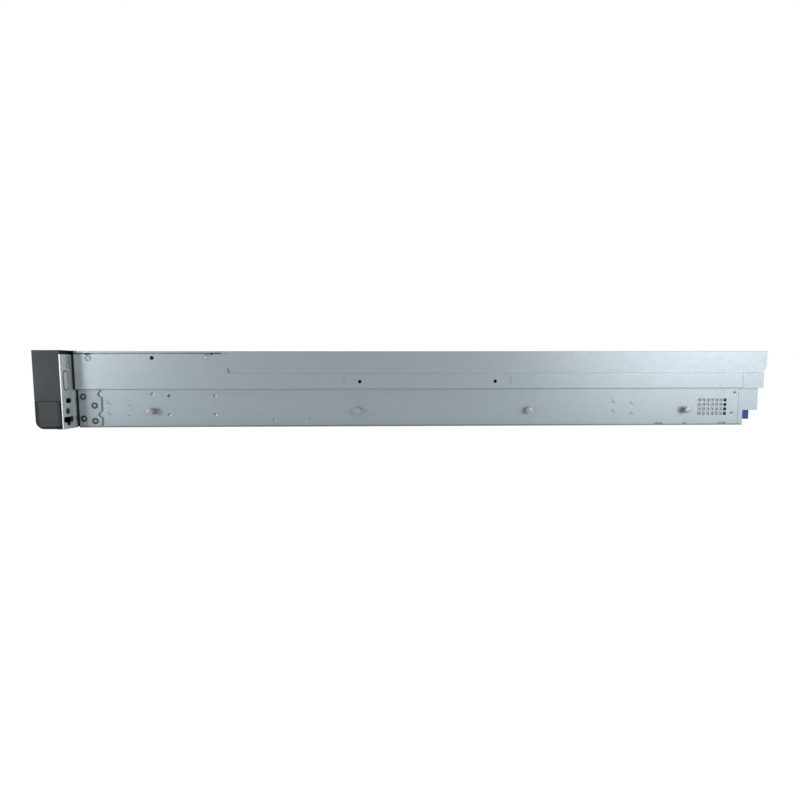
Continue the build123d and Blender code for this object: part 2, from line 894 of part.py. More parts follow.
def ear_bracket():
    """The right steel bracket: a leg on the side wall and the flange behind the ear."""
    joint_top = leg_top + seam_gap
    bracket = block(flange_edge, flange_half, flange_front, -flange_rear, ear_foot, flange_top)
    bracket += block(ear_inner, flange_edge, flange_front, -flange_rear, ear_foot, joint_top)
    bracket += block(low_half, leg_outer, -flange_rear, leg_length, leg_foot, leg_top)
    end_edges = bracket.edges().filter_by(Axis.X).filter_by(
        lambda e: e.center().Y > leg_length - seam_gap)
    bracket = fillet(end_edges, leg_round)
    cuts = flange_cuts()
    for y, z in leg_screws:
        cuts.append(rod_x(y, z, screw_head_radius + screw_play,
                          leg_outer - screw_head_height - screw_sink, leg_outer + slack))
    for y, z in leg_scallops:
        cuts.append(rod_x(y, z, scallop_radius, low_half, leg_outer + slack))
    return bracket - cuts


def ear_pin():
    """Axis of an ear's release lever, seen from above."""
    x = flange_half - ear_barrel_radius - pin_inset
    return x, flange_front - ear_wall - lug_gap - ear_barrel_radius


def ear_rim():
    """The dark edge of the housing that shows beside and above the steel flange."""
    rear = -seam_gap
    foot = leg_top + seam_gap + ear_gap
    rim = block(ear_inner, flange_half, flange_front, -flange_rear, flange_top + ear_gap,
                ear_top)
    rim += block(ear_inner, flange_edge - ear_gap, flange_front, rear, foot, ear_top)
    rim += block(leg_outer, leg_outer + strip_thick, -strip_front, strip_rear, leg_foot, foot)
    rim += block(leg_outer, leg_outer + strip_thick, -strip_front, rear, leg_foot,
                 foot + slack)
    return rim


def ear_housing():
    """The right ear's plastic housing, with the frame that carries the lever."""
    front = -ear_depth
    seam = ear_seam + lever_play
    body = block(ear_inner, flange_half, front, flange_front, seam, ear_top)
    upright = body.edges().filter_by(Axis.Z).filter_by(
        lambda e: e.center().Y < front + seam_gap)
    body = fillet(upright, ear_round)
    pin_x, pin_y = ear_pin()
    lug_top = ear_foot + lug_height
    body += block(ear_inner, pin_x, flange_front - ear_wall, flange_front, ear_foot, seam)
    body += block(ear_inner, ear_inner + ear_wall, front + arm_clear, flange_front, ear_foot,
                  seam)
    body += rod_z(pin_x, pin_y, ear_barrel_radius, ear_foot, lug_top)
    body += block(pin_x - ear_barrel_radius, pin_x + ear_barrel_radius, pin_y, flange_front,
                  ear_foot, lug_top)
    body += rod_z(pin_x, pin_y, ear_pin_radius, ear_foot, seam + slack)
    body += ear_rim()
    screw_x = flange_half - rack_screw_in
    wall = (flange_front - ear_wall - slack, flange_front)
    body -= rod_y(screw_x, rack_screw_z, rack_screw_radius + lug_gap, *wall)
    cross = (flange_half - cross_place[0], cross_place[1])
    body -= prism_y(window(cross, cross_size[0] - 4 * ear_wall, cross_size[1]), *wall)
    opening = (flange_half - window_place[0], window_place[1])
    body -= prism_y(window(opening, *window_size), flange_front - deep_window, flange_front)
    return body


def right_ear_housing():
    """The right housing has the bores of the two buttons and a row of lamps."""
    body = ear_housing()
    start = -ear_depth - slack
    deep = -ear_depth + button_depth + button_travel + lug_gap
    for radius, drop in ((button_radius, power_button_drop),
                         (uid_button_radius, uid_button_drop)):
        body -= rod_y(ear_middle, ear_top - drop, radius + button_bore_gap, start, deep)
    lamps = window((ear_middle, ear_top - lamp_drop), lamp_width, lamp_height)
    return body - prism_y(lamps, start, -ear_depth + lamp_depth)


def left_ear_housing():
    """The left housing has two upright sockets."""
    body = other_side(ear_housing())
    back = -ear_depth + front_socket_depth
    for drop in front_socket_drops:
        place = (-ear_middle, ear_top - drop)
        mouth = window(place, front_socket_width, front_socket_height)
        tongue = window(place, front_tongue, front_socket_height - 2 * front_tongue_inset)
        body -= prism_y(mouth, -ear_depth - slack, back)
        body += prism_y(tongue, -ear_depth + front_tongue_inset, back)
    return body


def ear_button(radius, drop):
    """A round button whose face lies just inside the ear's."""
    face = -ear_depth + button_sink
    return rod_y(ear_middle, ear_top - drop, radius, face, face + button_depth)


def lever_outline(front, rear, low, high):
    """The lever's side outline in Y and Z, with its lower front corner rounded."""
    outline = panel(front, rear, low, high)
    corner = [v for v in outline.vertices() if v.X < front + seam_gap and v.Y < low + seam_gap]
    return fillet(corner, lever_corner)


def ear_lever():
    """The release lever that covers the rack screw: an open shell on an upright pin."""
    pin_x, pin_y = ear_pin()
    outer = pin_x + ear_barrel_radius
    front = -ear_depth + lever_front_gap
    low, high = ear_foot + lug_gap, ear_seam - lever_play
    inner = ear_inner + lug_gap
    back = pin_y + 2 * ear_barrel_radius
    seat = ear_foot + lug_height + lug_gap
    barrel_front = pin_y - ear_barrel_radius
    shell = prism_x(lever_outline(front, pin_y, low, high), inner, outer)
    shell -= block(inner - slack, outer - ear_wall, front + ear_wall, back, low + ear_wall,
                   high + slack)
    shell -= block(inner - slack, ear_inner + ear_wall + lug_gap, front + ear_wall, back,
                   low - slack, high + slack)
    shell -= block(inner - slack, outer + slack, barrel_front - lug_gap - seam_gap, back,
                   low - slack, seat)
    shell += rod_z(pin_x, pin_y, ear_barrel_radius, seat, high)
    shell += block(outer - ear_wall, outer, barrel_front - slack, pin_y, seat, high)
    return shell - rod_z(pin_x, pin_y, ear_pin_radius + lever_fit, low - slack, high + slack)


def bay_x(column):
    return (column - (bay_columns - 1) / 2) * column_pitch


def bay_z(row):
    return bay_floor + row * row_pitch


def drive_cage():
    """Upright dividers with the ledges on which the carriers slide."""
    dividers = []
    for line in range(bay_columns + 1):
        x = (line - bay_columns / 2) * column_pitch
        plate = block(x - divider_thick / 2, x + divider_thick / 2, 0, cage_length, sheet,
                      hood_underside)
        left = x - divider_thick / 2 - (ledge_width if line > 0 else 0)
        right = x + divider_thick / 2 + (ledge_width if line < bay_columns else 0)
        for row in range(bay_rows):
            top = bay_z(row) - slide_gap
            plate += block(left, right, sheet, cage_length, top - ledge_thick, top)
        dividers.append(plate)
    return dividers


def lever_pin_place():
    """Axis of a drive lever, from the middle of its bay."""
    x = carrier_width / 2 - bezel_side - lever_gap - lever_thick / 2
    return x, -bezel_front + lever_set_back + lever_thick / 2


def drive_carrier():
    """One carrier at the middle of a bay: bezel, rails and floor in one."""
    side = carrier_width / 2
    low, high = bezel_low, bezel_low + bezel_height
    bezel = block(-side, side, -bezel_front, -bezel_rear, low, high)
    upright = bezel.edges().filter_by(Axis.Z).filter_by(
        lambda e: e.center().Y < -bezel_front + seam_gap)
    bezel = fillet(upright, bezel_round)
    web_front = -bezel_front + lever_thick + web_clear
    web_rear = web_front + web_thick
    bezel -= block(-side + bezel_side, side - bezel_side, -bezel_front - slack, web_front,
                   low + bezel_bar, high - bezel_bar)
    bezel -= block(-side + bezel_wall, side - bezel_wall, web_rear, -bezel_rear + slack,
                   low + bezel_wall, high - bezel_wall)
    pitch = (carrier_width - 4 * bezel_side) / web_slots
    reach = pitch * web_slot_share / 2
    edge = bezel_bar + web_slot_edge
    for number in range(web_slots):
        x = (number - (web_slots - 1) / 2) * pitch
        bezel -= block(x - reach, x + reach, web_front - slack, web_rear + slack, low + edge,
                       high - edge)
    pin_x, pin_y = lever_pin_place()
    bezel += rod_z(pin_x, pin_y, lever_pin_radius, low + bezel_bar - slack,
                   high - bezel_bar + slack)
    rail = drive_width / 2 + rail_gap
    end = drive_start + drive_length
    for x0, x1 in ((-side, -rail), (rail, side)):
        bezel += block(x0, x1, -bezel_rear - slack, end, 0, rail_height)
    bezel += block(-side, side, -bezel_rear - slack, end, 0, tray_thick)
    open_side = side - tray_window_side
    return bezel - block(-open_side, open_side, drive_start + tray_window_end,
                         end - tray_window_end, -slack, tray_thick + slack / 2)


def disk_drive():
    """A 3.5-inch disk drive, with its stepped lid and the step of its connector."""
    wide = drive_width / 2
    low = tray_thick + drive_seat
    end = drive_start + drive_length
    shoulder = low + drive_height - drive_lid_step
    body = block(-wide, wide, drive_start, end, low, shoulder)
    body += block(-wide + drive_lid_inset, wide - drive_lid_inset,
                  drive_start + drive_lid_inset, end - drive_lid_end, shoulder,
                  low + drive_height)
    left, right = drive_socket_wall
    bottom, top = drive_socket_span
    return body - block(-wide + left, wide - right, end - drive_socket_depth, end + slack,
                        low + bottom, low + top)


def carrier_lever():
    """The ejector lever: a slotted flap on an upright pin, with its catch at the free end."""
    pin_x, pin_y = lever_pin_place()
    low = bezel_low + bezel_bar + lever_gap
    high = bezel_low + bezel_height - bezel_bar - lever_gap
    left = -carrier_width / 2 + bezel_side + lever_gap
    front = pin_y - lever_thick / 2
    rear = pin_y + lever_thick / 2
    flap = block(left, pin_x, front, rear, low, high)
    flap += rod_z(pin_x, pin_y, lever_thick / 2, low, high)
    flap -= block(left + lever_wall, pin_x - lever_pin_room, front + lever_wall, rear + slack,
                  low + lever_edge, high - lever_edge)
    slot_start = left + lever_slot_start
    pitch = (pin_x - lever_slot_end - slot_start) / lever_slots
    middle_z = (low + high) / 2
    for number in range(lever_slots):
        x = slot_start + (number + 0.5) * pitch
        slot = window((x, middle_z), lever_slot_width, lever_slot_height)
        flap -= prism_y(slot, front - slack, front + lever_wall + slack)
    thumb = left + thumb_start
    flap -= block(thumb, thumb + thumb_length, front - slack, front + thumb_depth,
                  low + thumb_edge, high - thumb_edge)
    return flap - rod_z(pin_x, pin_y, lever_pin_radius + lever_fit, low - slack, high + slack)


def drive_backplane():
    """The board behind the bays, its drive sockets and its rear connectors."""
    front = drive_start + drive_length + slide_gap + socket_depth
    rear = front + backplane_thick
    wide = column_pitch * bay_columns / 2 - backplane_side
    board = block(-wide, wide, front, rear, sheet, hood_underside - backplane_head)
    for column in range(bay_columns):
        for row in range(bay_rows - 1):
            place = (bay_x(column), bay_z(row) + row_pitch - air_slot_drop)
            slot = window(place, column_pitch - air_slot_room, air_slot_height)
            board -= prism_y(slot, front - slack, rear + slack)
    pieces = [board]
    for column in range(bay_columns):
        for row in range(bay_rows):
            x = bay_x(column) - drive_width / 2 + socket_inset
            z = bay_z(row) + tray_thick + socket_lift
            pieces.append(block(x, x + socket_length, front - socket_depth, front, z,
                                z + socket_height))
    low, high = cable_socket_span
    for column in range(bay_columns):
        x = bay_x(column)
        pieces.append(block(x - cable_socket_length / 2, x + cable_socket_length / 2, rear,
                            rear + cable_socket_depth, low, high))
    return pieces


def fan_centre(number):
    return bay_x(number), sheet + fan_lift + fan_size / 2


def fan_frame():
    """One fan frame: square shell, round bore, the motor's struts and a finger tab."""
    rear = fan_front + fan_depth
    shell = prism_y(RectangleRounded(fan_size, fan_size, fan_round), fan_front, rear)
    shell -= rod_y(0, 0, fan_bore_radius, fan_front - slack, rear + slack)
    hub = rod_y(0, 0, fan_hub_radius, rear - fan_plate, rear)
    hub += rod_y(0, 0, fan_shaft_radius - lever_fit, rear - fan_shaft_length, rear)
    for angle in (0, 90, 180, 270):
        strut = Pos(0, fan_bore_radius / 2 + slack) * Rectangle(fan_strut, fan_bore_radius)
        hub += prism_y(Rot(0, 0, angle) * strut, rear - fan_plate, rear)
    top = fan_size / 2
    tab = block(-fan_tab_width / 2, fan_tab_width / 2, fan_front, fan_front + fan_tab_depth,
                top - slack, top + fan_tab_height)
    return shell + hub + tab


def blade_section(radius, chord, pitch, camber, thick):
    """A lens-shaped section of a fan blade, square to the radius."""
    along, across = math.sin(math.radians(pitch)), math.cos(math.radians(pitch))
    nose = (-chord / 2 * along, -chord / 2 * across)
    tail = (chord / 2 * along, chord / 2 * across)
    upper = (across * (camber + thick / 2), -along * (camber + thick / 2))
    lower = (across * (camber - thick / 2), -along * (camber - thick / 2))
    outline = ThreePointArc(nose, upper, tail) + ThreePointArc(tail, lower, nose)
    plane = Plane(origin=(radius, 0, 0), x_dir=(0, 1, 0), z_dir=(1, 0, 0))
    return plane * make_face(outline)


def rotor(hub_radius, tip_radius, length, blades, chord, bore_radius):
    """A fan rotor on the Y axis: a hub cup with twisted blades."""
    wheel = rod_y(0, 0, hub_radius, -length / 2, length / 2)
    root_chord = chord * blade_root_share
    root = blade_section(hub_radius - blade_lap, root_chord, blade_root_pitch,
                         root_chord * blade_camber, blade_root_thick)
    tip = blade_section(tip_radius + blade_lap, chord, blade_tip_pitch, chord * blade_camber,
                        blade_tip_thick)
    blade = loft([root, tip])
    blade &= rod_y(0, 0, tip_radius, -length, length)
    for number in range(blades):
        wheel += Rot(0, 360 / blades * number, 0) * blade
    return wheel - rod_y(0, 0, bore_radius, 0, length / 2 + slack)


def fan_rotor():
    return rotor(fan_hub_radius, fan_bore_radius - fan_tip_gap, fan_depth - fan_rotor_room,
                 fan_blades, fan_chord, fan_shaft_radius)


def motherboard():
    """The mainboard on its posts, with its chips, power connectors and rear sockets."""
    wide = low_half - sheet - board_margin
    low = board_top - board_thick
    board = block(-wide, wide, board_front, board_rear, low, board_top)
    notch_x = bay_inside() - sheet
    notch_y = psu_front - notch_clear
    board -= block(notch_x, wide + slack, notch_y, board_rear + slack, low - slack,
                   board_top + slack)
    for x in (-wide + post_inset, 0, notch_x - post_inset):
        for y in (board_front + post_inset, (board_front + board_rear) / 2,
                  board_rear - post_inset):
            board += rod_z(x, y, board_post_radius, sheet, low)
    pieces = [board]
    front = psu_front - psu_lift
    reach = psu_socket_length / 2
    for number in (1, 2):
        x = psu_centre(number)
        pieces.append(block(x - reach, x + reach, front - psu_socket_depth, front, sheet,
                            sheet + psu_socket_height))
    for x, width, ahead, length, height in chip_blocks:
        y = lower_rear - ahead
        pieces.append(block(x, x + width, y, y + length, board_top, board_top + height))
    return pieces + rear_sockets()


def rear_sockets():
    """Metal shells of the sockets in the lower rear wall, and the card module beside them."""
    shells = []
    rear = lower_rear + port_proud
    for x0, x1, z0, z1 in ports().values():
        shell = block(x0, x1, lower_rear - port_depth - slack, rear, z0, z1)
        shell -= block(x0 + port_wall, x1 - port_wall, lower_rear - port_depth, rear + slack,
                       z0 + port_wall, z1 - port_wall)
        shells.append(shell)
    x0, x1, z0, z1 = card_slot()
    module = block(x0, x1, lower_rear - card_slot_depth, rear, z0, z1)
    low, high = card_cage_span
    for inset in card_cages:
        x = x0 + inset
        module -= block(x - card_cage_width / 2, x + card_cage_width / 2,
                        lower_rear - card_cage_depth, rear + slack, z0 + low, z0 + high)
    shells.append(module)
    shells.append(block(x0 + card_foot, x1 - card_foot, lower_rear - card_slot_depth + slack,
                        lower_rear - 2 * card_foot, board_top, z0))
    return shells


def memory_places():
    """Front middle of each memory module, seen from above."""
    places = []
    for side in (-1, 1):
        for bank in (-1, 1):
            start = side * socket_x + bank * (sink_width / 2 + memory_bank_gap)
            for number in range(memory_per_bank):
                x = start + bank * (number + 0.5) * memory_pitch
                places.append((x, sink_start - memory_lead))
    return places


def memory_modules():
    """The memory modules, each standing in its socket."""
    bottom = board_top + memory_socket_floor
    socket_top = board_top + memory_socket_height
    wide = memory_socket_width / 2
    edge = memory_thick / 2
    groove = edge + memory_socket_play
    modules = []
    for x, y in memory_places():
        end = y + memory_length
        socket = block(x - wide, x + wide, y - memory_socket_end, end + memory_socket_end,
                       board_top, socket_top)
        socket -= block(x - groove, x + groove, y - 2 * memory_socket_play,
                        end + 2 * memory_socket_play, bottom - memory_socket_play,
                        socket_top + slack)
        modules.append(socket)
        module = block(x - edge, x + edge, y, end, bottom, bottom + memory_height)
        key = y + memory_key_start
        module -= block(x - edge - slack, x + edge + slack, key, key + memory_key,
                        bottom - slack, bottom + memory_key_depth)
        modules.append(module)
    return modules


def heatsink(x):
    """A finned cooler on its processor."""
    left, right = x - sink_width / 2, x + sink_width / 2
    front, rear = sink_start, sink_start + sink_length
    seat = board_top + package_height
    sink = block(x - package_side, x + package_side, front + package_inset,
                 rear - package_inset, board_top, seat)
    sink += block(left, right, front, rear, seat, seat + sink_base)
    pitch = (sink_width - fin_thick) / (sink_fins - 1)
    for number in range(sink_fins):
        fin_x = left + number * pitch
        sink += block(fin_x, fin_x + fin_thick, front, rear, seat, board_top + sink_height)
    return sink


def air_duct():
    """The plastic baffle that leads the air over the two coolers."""
    roof = board_top + sink_height + duct_clear
    wide = sink_width / 2 + duct_side
    duct = None
    for x in (-socket_x, socket_x):
        tunnel = block(x - wide - duct_wall, x + wide + duct_wall, duct_front, duct_rear,
                       board_top + duct_foot, roof + duct_wall)
        tunnel -= block(x - wide, x + wide, duct_front - slack, duct_rear + slack,
                        board_top - slack, roof)
        duct = tunnel if duct is None else duct + tunnel
    gap = socket_x - wide - duct_wall
    return duct + block(-gap, gap, duct_front, duct_front + duct_bridge, roof,
                        roof + duct_wall)


def riser_cage(left, right, front, rear):
    """Sheet cage over one pair of rear slots."""
    top = slot_bottom(slots_per_riser - 1) + slot_height + slot_clear
    base = slot_bottom(0) - slot_clear
    cage = block(left, right, front, rear, top, top + sheet)
    cage += block(left, left + sheet, front, rear, base, top)
    cage += block(left, right, front, front + sheet, top - riser_lip, top)
    cage += block(left, right, rear - sheet, rear, base, top)
    x = (left + right) / 2
    opening = slot_width / 2 - slot_rim
    for row in range(slots_per_riser):
        z = slot_bottom(row)
        cage -= block(x - opening, x + opening, rear - sheet - slack, rear + slack,
                      z + slot_edge, z + slot_height - slot_edge)
    return cage


def slot_cover(x, z, front):
    """A perforated cover that closes one rear slot."""
    cover = block(x - slot_width / 2, x + slot_width / 2, front, upper_rear, z,
                  z + slot_height)
    pitch = (slot_width - 2 * slot_blank_end) / slot_holes
    for number in range(slot_holes):
        place = (x + (number - (slot_holes - 1) / 2) * pitch, z + slot_height / 2)
        hole = window(place, pitch * slot_hole_share, slot_hole_height)
        cover -= prism_y(hole, front - slack, upper_rear + slack)
    return cover


def riser_modules():
    """Rear card cages with their upright boards, card sockets and slot covers."""
    pieces = []
    front = upper_rear - sheet - riser_length
    rear = upper_rear - sheet - slot_clear
    base = slot_bottom(0) - slot_clear
    top = slot_bottom(slots_per_riser - 1) + slot_height + slot_clear
    start = front + card_socket_front
    end = start + card_socket_length
    for number in range(riser_count):
        x = riser_centre(number)
        left, right = x - riser_width / 2, x + riser_width / 2
        pieces.append(riser_cage(left, right, front, rear))
        board_x = left + sheet
        card = block(board_x, board_x + card_thick, front + card_front, rear - card_rear, base,
                     top - slack)
        if right < psu_centre(2):
            card += block(board_x, board_x + card_thick, start, end, board_top, base)
        pieces.append(card)
        socket_start = board_x + card_thick
        for row in range(slots_per_riser):
            z = slot_bottom(row)
            middle_z = z + slot_height / 2
            pieces.append(block(socket_start, socket_start + card_socket_depth, start, end,
                                middle_z - card_socket_height / 2,
                                middle_z + card_socket_height / 2))
            pieces.append(slot_cover(x, z, rear))
    return pieces


def handle_legs():
    """Middle of each leg of a handle, from the unit's middle plane."""
    return psu_fan_x - handle_width / 2, psu_fan_x + handle_width / 2


def psu_fan_block(left, right, front, low, high):
    """The fan end of a power supply: a round recess behind a wire guard."""
    fan = block(left, right, front, psu_face, low, high)
    floor = psu_face - psu_fan_depth
    fan -= rod_y(psu_fan_x, psu_middle_z, psu_fan_radius, floor, psu_face + slack)
    fan += rod_y(psu_fan_x, psu_middle_z, psu_hub, floor - slack / 2, floor + psu_boss)
    inner, outer = guard_ring
    guard_front = psu_face - guard_thick
    ring = Pos(psu_fan_x, psu_middle_z) * (Circle(outer) - Circle(inner))
    fan += prism_y(ring, guard_front, psu_face)
    length = 2 * (psu_fan_radius + slack / 2)
    for angle in (45, 135):
        bar = Pos(psu_fan_x, psu_middle_z) * Rot(0, 0, angle) * Rectangle(length, guard_bar)
        fan += prism_y(bar, guard_front, psu_face)
    return fan


def psu_inlet_block(left, right, front, low, high):
    """The inlet end of a power supply: a socket with three blades in it."""
    inlet = block(left, right, front, psu_face, low, high)
    mouth = window((psu_inlet_x, psu_middle_z), psu_inlet_width, psu_inlet_height)
    floor = psu_face - psu_inlet_depth
    inlet -= prism_y(mouth, floor, psu_face + slack)
    for x, z in inlet_pins:
        blade = window((psu_inlet_x + x, psu_middle_z + z), inlet_pin_width, inlet_pin_height)
        inlet += prism_y(blade, floor - slack / 2, psu_face - inlet_pin_sink)
    return inlet


def psu_latch_block(left, right, front, low, high):
    """The latch end of a power supply: a pocket with the latch's upright pin."""
    end = block(left, right, front, psu_face, low, high)
    inner, outer = latch_pocket_room
    bottom = psu_latch_z - psu_latch_play
    top = psu_latch_z + psu_latch_height + psu_latch_play
    pin_y = psu_face - psu_latch_pin_y
    end -= block(right - inner, right - outer, pin_y - latch_pocket_lead, psu_face + slack,
                 bottom, top)
    return end + rod_z(right - psu_latch_in, pin_y, psu_latch_pin, bottom - slack / 2,
                       top + slack / 2)


def handle_lugs():
    """The two lugs that carry a handle, each with its stub pin."""
    lugs = []
    pin_y = psu_face + handle_stand
    for x, outer in zip(handle_legs(), (-1, 1)):
        lug_x = x + outer * (handle_bar / 2 + lug_side)
        ends = sorted((lug_x, lug_x + outer * lug_thick))
        lug = block(*ends, psu_face, pin_y + lug_end, handle_pivot_z - lug_half,
                    handle_pivot_z + lug_half)
        pin = sorted((x - outer * handle_bar / 2, lug_x + outer * slack / 2))
        lugs.append(lug + rod_x(pin_y, handle_pivot_z, handle_pin_radius, *pin))
    return lugs


def power_supply():
    """A power supply about its own middle plane: case, rear end in three parts, lugs."""
    side = psu_width / 2
    low, high = sheet + psu_lift, sheet + psu_lift + psu_height
    front = psu_face - psu_fan_depth - latch_pocket_lead
    latch_x = side - latch_pocket_room[0] - latch_pocket_wall
    return [
        block(-side, side, psu_front, front, low, high),
        psu_inlet_block(-side, psu_split_x, front, low, high),
        psu_fan_block(psu_split_x, latch_x, front, low, high),
        psu_latch_block(latch_x, side, front, low, high),
        *handle_lugs(),
    ]


def psu_handle():
    """The folding handle: a flat bail on two stub pins."""
    left, right = handle_legs()
    front = psu_face + handle_stand - handle_thick / 2
    rear = front + handle_thick
    reach = handle_bar / 2
    top = handle_pivot_z + reach
    bottom = handle_pivot_z - handle_drop
    bail = block(left - reach, right + reach, front, rear, bottom, top)
    bail -= block(left + reach, right - reach, front - slack, rear + slack,
                  bottom + handle_bar, top + slack)
    corners = bail.edges().filter_by(Axis.Y).filter_by(
        lambda e: e.center().Z < bottom + seam_gap)
    bail = fillet(corners, reach)
    bore = handle_pin_radius + lever_fit
    return bail - rod_x(psu_face + handle_stand, handle_pivot_z, bore, left - handle_bar,
                        right + handle_bar)


def psu_latch():
    """The release latch: a tab outside the face on an arm that turns about an upright pin."""
    pin_x = psu_width / 2 - psu_latch_in
    pin_y = psu_face - psu_latch_pin_y
    low, high = psu_latch_z, psu_latch_z + psu_latch_height
    inner, outer = psu_latch_tab
    latch = rod_z(pin_x, pin_y, psu_latch_barrel, low, high)
    latch += block(pin_x - psu_latch_arm / 2, pin_x + psu_latch_arm / 2, pin_y,
                   psu_face + tab_join, low, high)
    tab = panel(pin_x - inner, pin_x + outer, psu_face + tab_gap, psu_face + psu_latch_reach,
                tab_round)
    latch += prism_z(tab, low, high)
    return latch - rod_z(pin_x, pin_y, psu_latch_pin + lever_fit, low - slack, high + slack)


def psu_rotor():
    wheel = rotor(psu_rotor_hub, psu_fan_radius - psu_rotor_gap, psu_rotor_length,
                  psu_rotor_blades, psu_rotor_chord, psu_hub + lever_fit)
    return Rot(0, psu_rotor_rest, 180) * wheel


def stud_places():
    """Distance of each rail stud behind the front edge."""
    return [*stud_front_y, *[seam_low - ahead for ahead in stud_rear_y]]


def rail_studs():
    """Mushroom studs on both lower sides, which hang in the rails."""
    studs = []
    neck_end = low_half + stud_neck
    for y in stud_places():
        stud = rod_x(y, stud_z, stud_neck_radius, low_half, neck_end)
        stud += rod_x(y, stud_z, stud_head_radius, neck_end, neck_end + stud_head)
        studs.append(stud)
        studs.append(other_side(stud))
    return studs


def rack_screw():
    """A captive rack screw, drawn back into its ear behind the flange."""
    x = flange_half - rack_screw_in
    tip = flange_front - ear_gap
    start = tip - rack_screw_length
    screw = rod_y(x, rack_screw_z, rack_screw_radius, start, tip)
    return screw + rod_y(x, rack_screw_z, rack_head_radius, start, start + rack_head_length)


def case_screws():
    """Countersunk screws of the ear brackets, and the captive rack screws."""
    screws = []
    head_end = leg_outer - screw_sink
    width, length, depth = driver_slot
    for y, z in leg_screws:
        head = rod_x(y, z, screw_head_radius, head_end - screw_head_height, head_end)
        for across, up in ((width, length), (length, width)):
            slot = window((y, z), across, up)
            head -= prism_x(slot, head_end - depth, head_end + slack)
        screws.append(head)
    screws.append(rack_screw())
    return screws + [other_side(screw) for screw in screws]


def save_chassis():
    """The steel body with its covers and ears."""
    wall = side_wall()
    save("side_wall_right", wall)
    save("side_wall_left", other_side(wall))
    save("base_pan", base_pan())
    save("rear_frame", *rear_frame())
    save("front_cover", front_cover())
    save("top_hood", top_hood())
    save("hood_latch", hood_latch())
    bracket = ear_bracket()
    save("ear_brackets", bracket, other_side(bracket))
    save("right_ear_housing", right_ear_housing())
    save("left_ear_housing", left_ear_housing())
    lever = ear_lever()
    save("right_ear_lever", lever)
    save("left_ear_lever", other_side(lever))
    save("power_button", ear_button(button_radius, power_button_drop))
    save("uid_button", ear_button(uid_button_radius, uid_button_drop))
    save("rail_studs", *rail_studs())
    save("case_screws", *case_screws())


def save_drives():
    """The drive cage, its carriers with drives and levers, and the backplane."""
    save("drive_cage", *drive_cage())
    save("drive_backplane", *drive_backplane())
    carrier, drive, flap = drive_carrier(), disk_drive(), carrier_lever()
    for row in range(bay_rows):
        for column in range(bay_columns):
            number = row * bay_columns + column + 1
            place = Pos(bay_x(column), 0, bay_z(row))
            save(f"drive_carrier_{number}", place * carrier, place * drive)
            save(f"carrier_lever_{number}", place * flap)


def save_inside():
    """The fans, the mainboard and what stands on it."""
    frame, wheel = fan_frame(), fan_rotor()
    frames = []
    rotor_y = fan_front + fan_depth / 2 - fan_rotor_shift
    for number in range(bay_columns):
        x, z = fan_centre(number)
        frames.append(Pos(x, 0, z) * frame)
        save(f"fan_rotor_{number + 1}", Pos(x, rotor_y, z) * wheel)
    save("fan_frames", *frames)
    save("motherboard", *motherboard())
    save("cpu_heatsinks", heatsink(-socket_x), heatsink(socket_x))
    save("memory_modules", *memory_modules())
    save("air_duct", air_duct())
    save("riser_modules", *riser_modules())


def save_power():
    """The two power supplies with their latches, handles and rotors."""
    unit, latch, handle, wheel = power_supply(), psu_latch(), psu_handle(), psu_rotor()
    rotor_y = psu_face - psu_fan_depth + psu_boss + psu_rotor_stand
    for number in (1, 2):
        place = Pos(psu_centre(number), 0, 0)
        save(f"power_supply_{number}", *[place * solid for solid in unit])
        save(f"psu_latch_{number}", place * latch)
        save(f"psu_handle_{number}", place * handle)
        save(f"psu_rotor_{number}", place * Pos(psu_fan_x, rotor_y, psu_middle_z) * wheel)


os.makedirs("parts", exist_ok=True)
save_chassis()
save_drives()
save_inside()
save_power()
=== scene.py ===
# %% [markdown]
# A two-unit rack server. The steel body, its covers, drives, fans and power supplies come from the
# construction model, already at their real size. This lesson dresses them: it gives every part its
# finish, adds the small pressed, moulded and soldered pieces, and sets up a plain studio.

# %% Load the construction model and keep its box
import json
import math

import bmesh
import bpy
from mathutils import Matrix, Vector

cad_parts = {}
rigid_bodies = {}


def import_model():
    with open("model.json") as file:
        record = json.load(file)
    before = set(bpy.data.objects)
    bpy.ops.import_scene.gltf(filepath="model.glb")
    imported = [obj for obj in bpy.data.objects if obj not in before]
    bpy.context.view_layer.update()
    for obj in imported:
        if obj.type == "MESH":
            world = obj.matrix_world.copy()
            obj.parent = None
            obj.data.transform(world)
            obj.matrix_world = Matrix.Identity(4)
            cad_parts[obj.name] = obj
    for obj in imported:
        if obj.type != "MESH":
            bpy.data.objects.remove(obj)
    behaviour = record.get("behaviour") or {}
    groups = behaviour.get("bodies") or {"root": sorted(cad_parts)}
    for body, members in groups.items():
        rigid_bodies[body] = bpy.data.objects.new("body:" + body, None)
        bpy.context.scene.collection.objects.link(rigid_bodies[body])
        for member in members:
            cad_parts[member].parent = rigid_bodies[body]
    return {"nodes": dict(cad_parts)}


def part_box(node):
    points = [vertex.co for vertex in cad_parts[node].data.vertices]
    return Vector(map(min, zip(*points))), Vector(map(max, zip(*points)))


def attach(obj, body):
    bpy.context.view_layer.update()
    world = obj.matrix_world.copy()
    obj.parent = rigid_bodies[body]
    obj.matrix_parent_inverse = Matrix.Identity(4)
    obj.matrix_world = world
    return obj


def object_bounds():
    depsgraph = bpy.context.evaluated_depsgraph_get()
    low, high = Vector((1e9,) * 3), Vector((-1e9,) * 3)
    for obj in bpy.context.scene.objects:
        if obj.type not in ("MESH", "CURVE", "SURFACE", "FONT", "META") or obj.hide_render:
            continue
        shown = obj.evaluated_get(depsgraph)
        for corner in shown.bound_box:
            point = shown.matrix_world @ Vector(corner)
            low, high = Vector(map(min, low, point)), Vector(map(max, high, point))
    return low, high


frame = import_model()
nodes = frame["nodes"]
cad_low, cad_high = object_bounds()
MM = 0.001
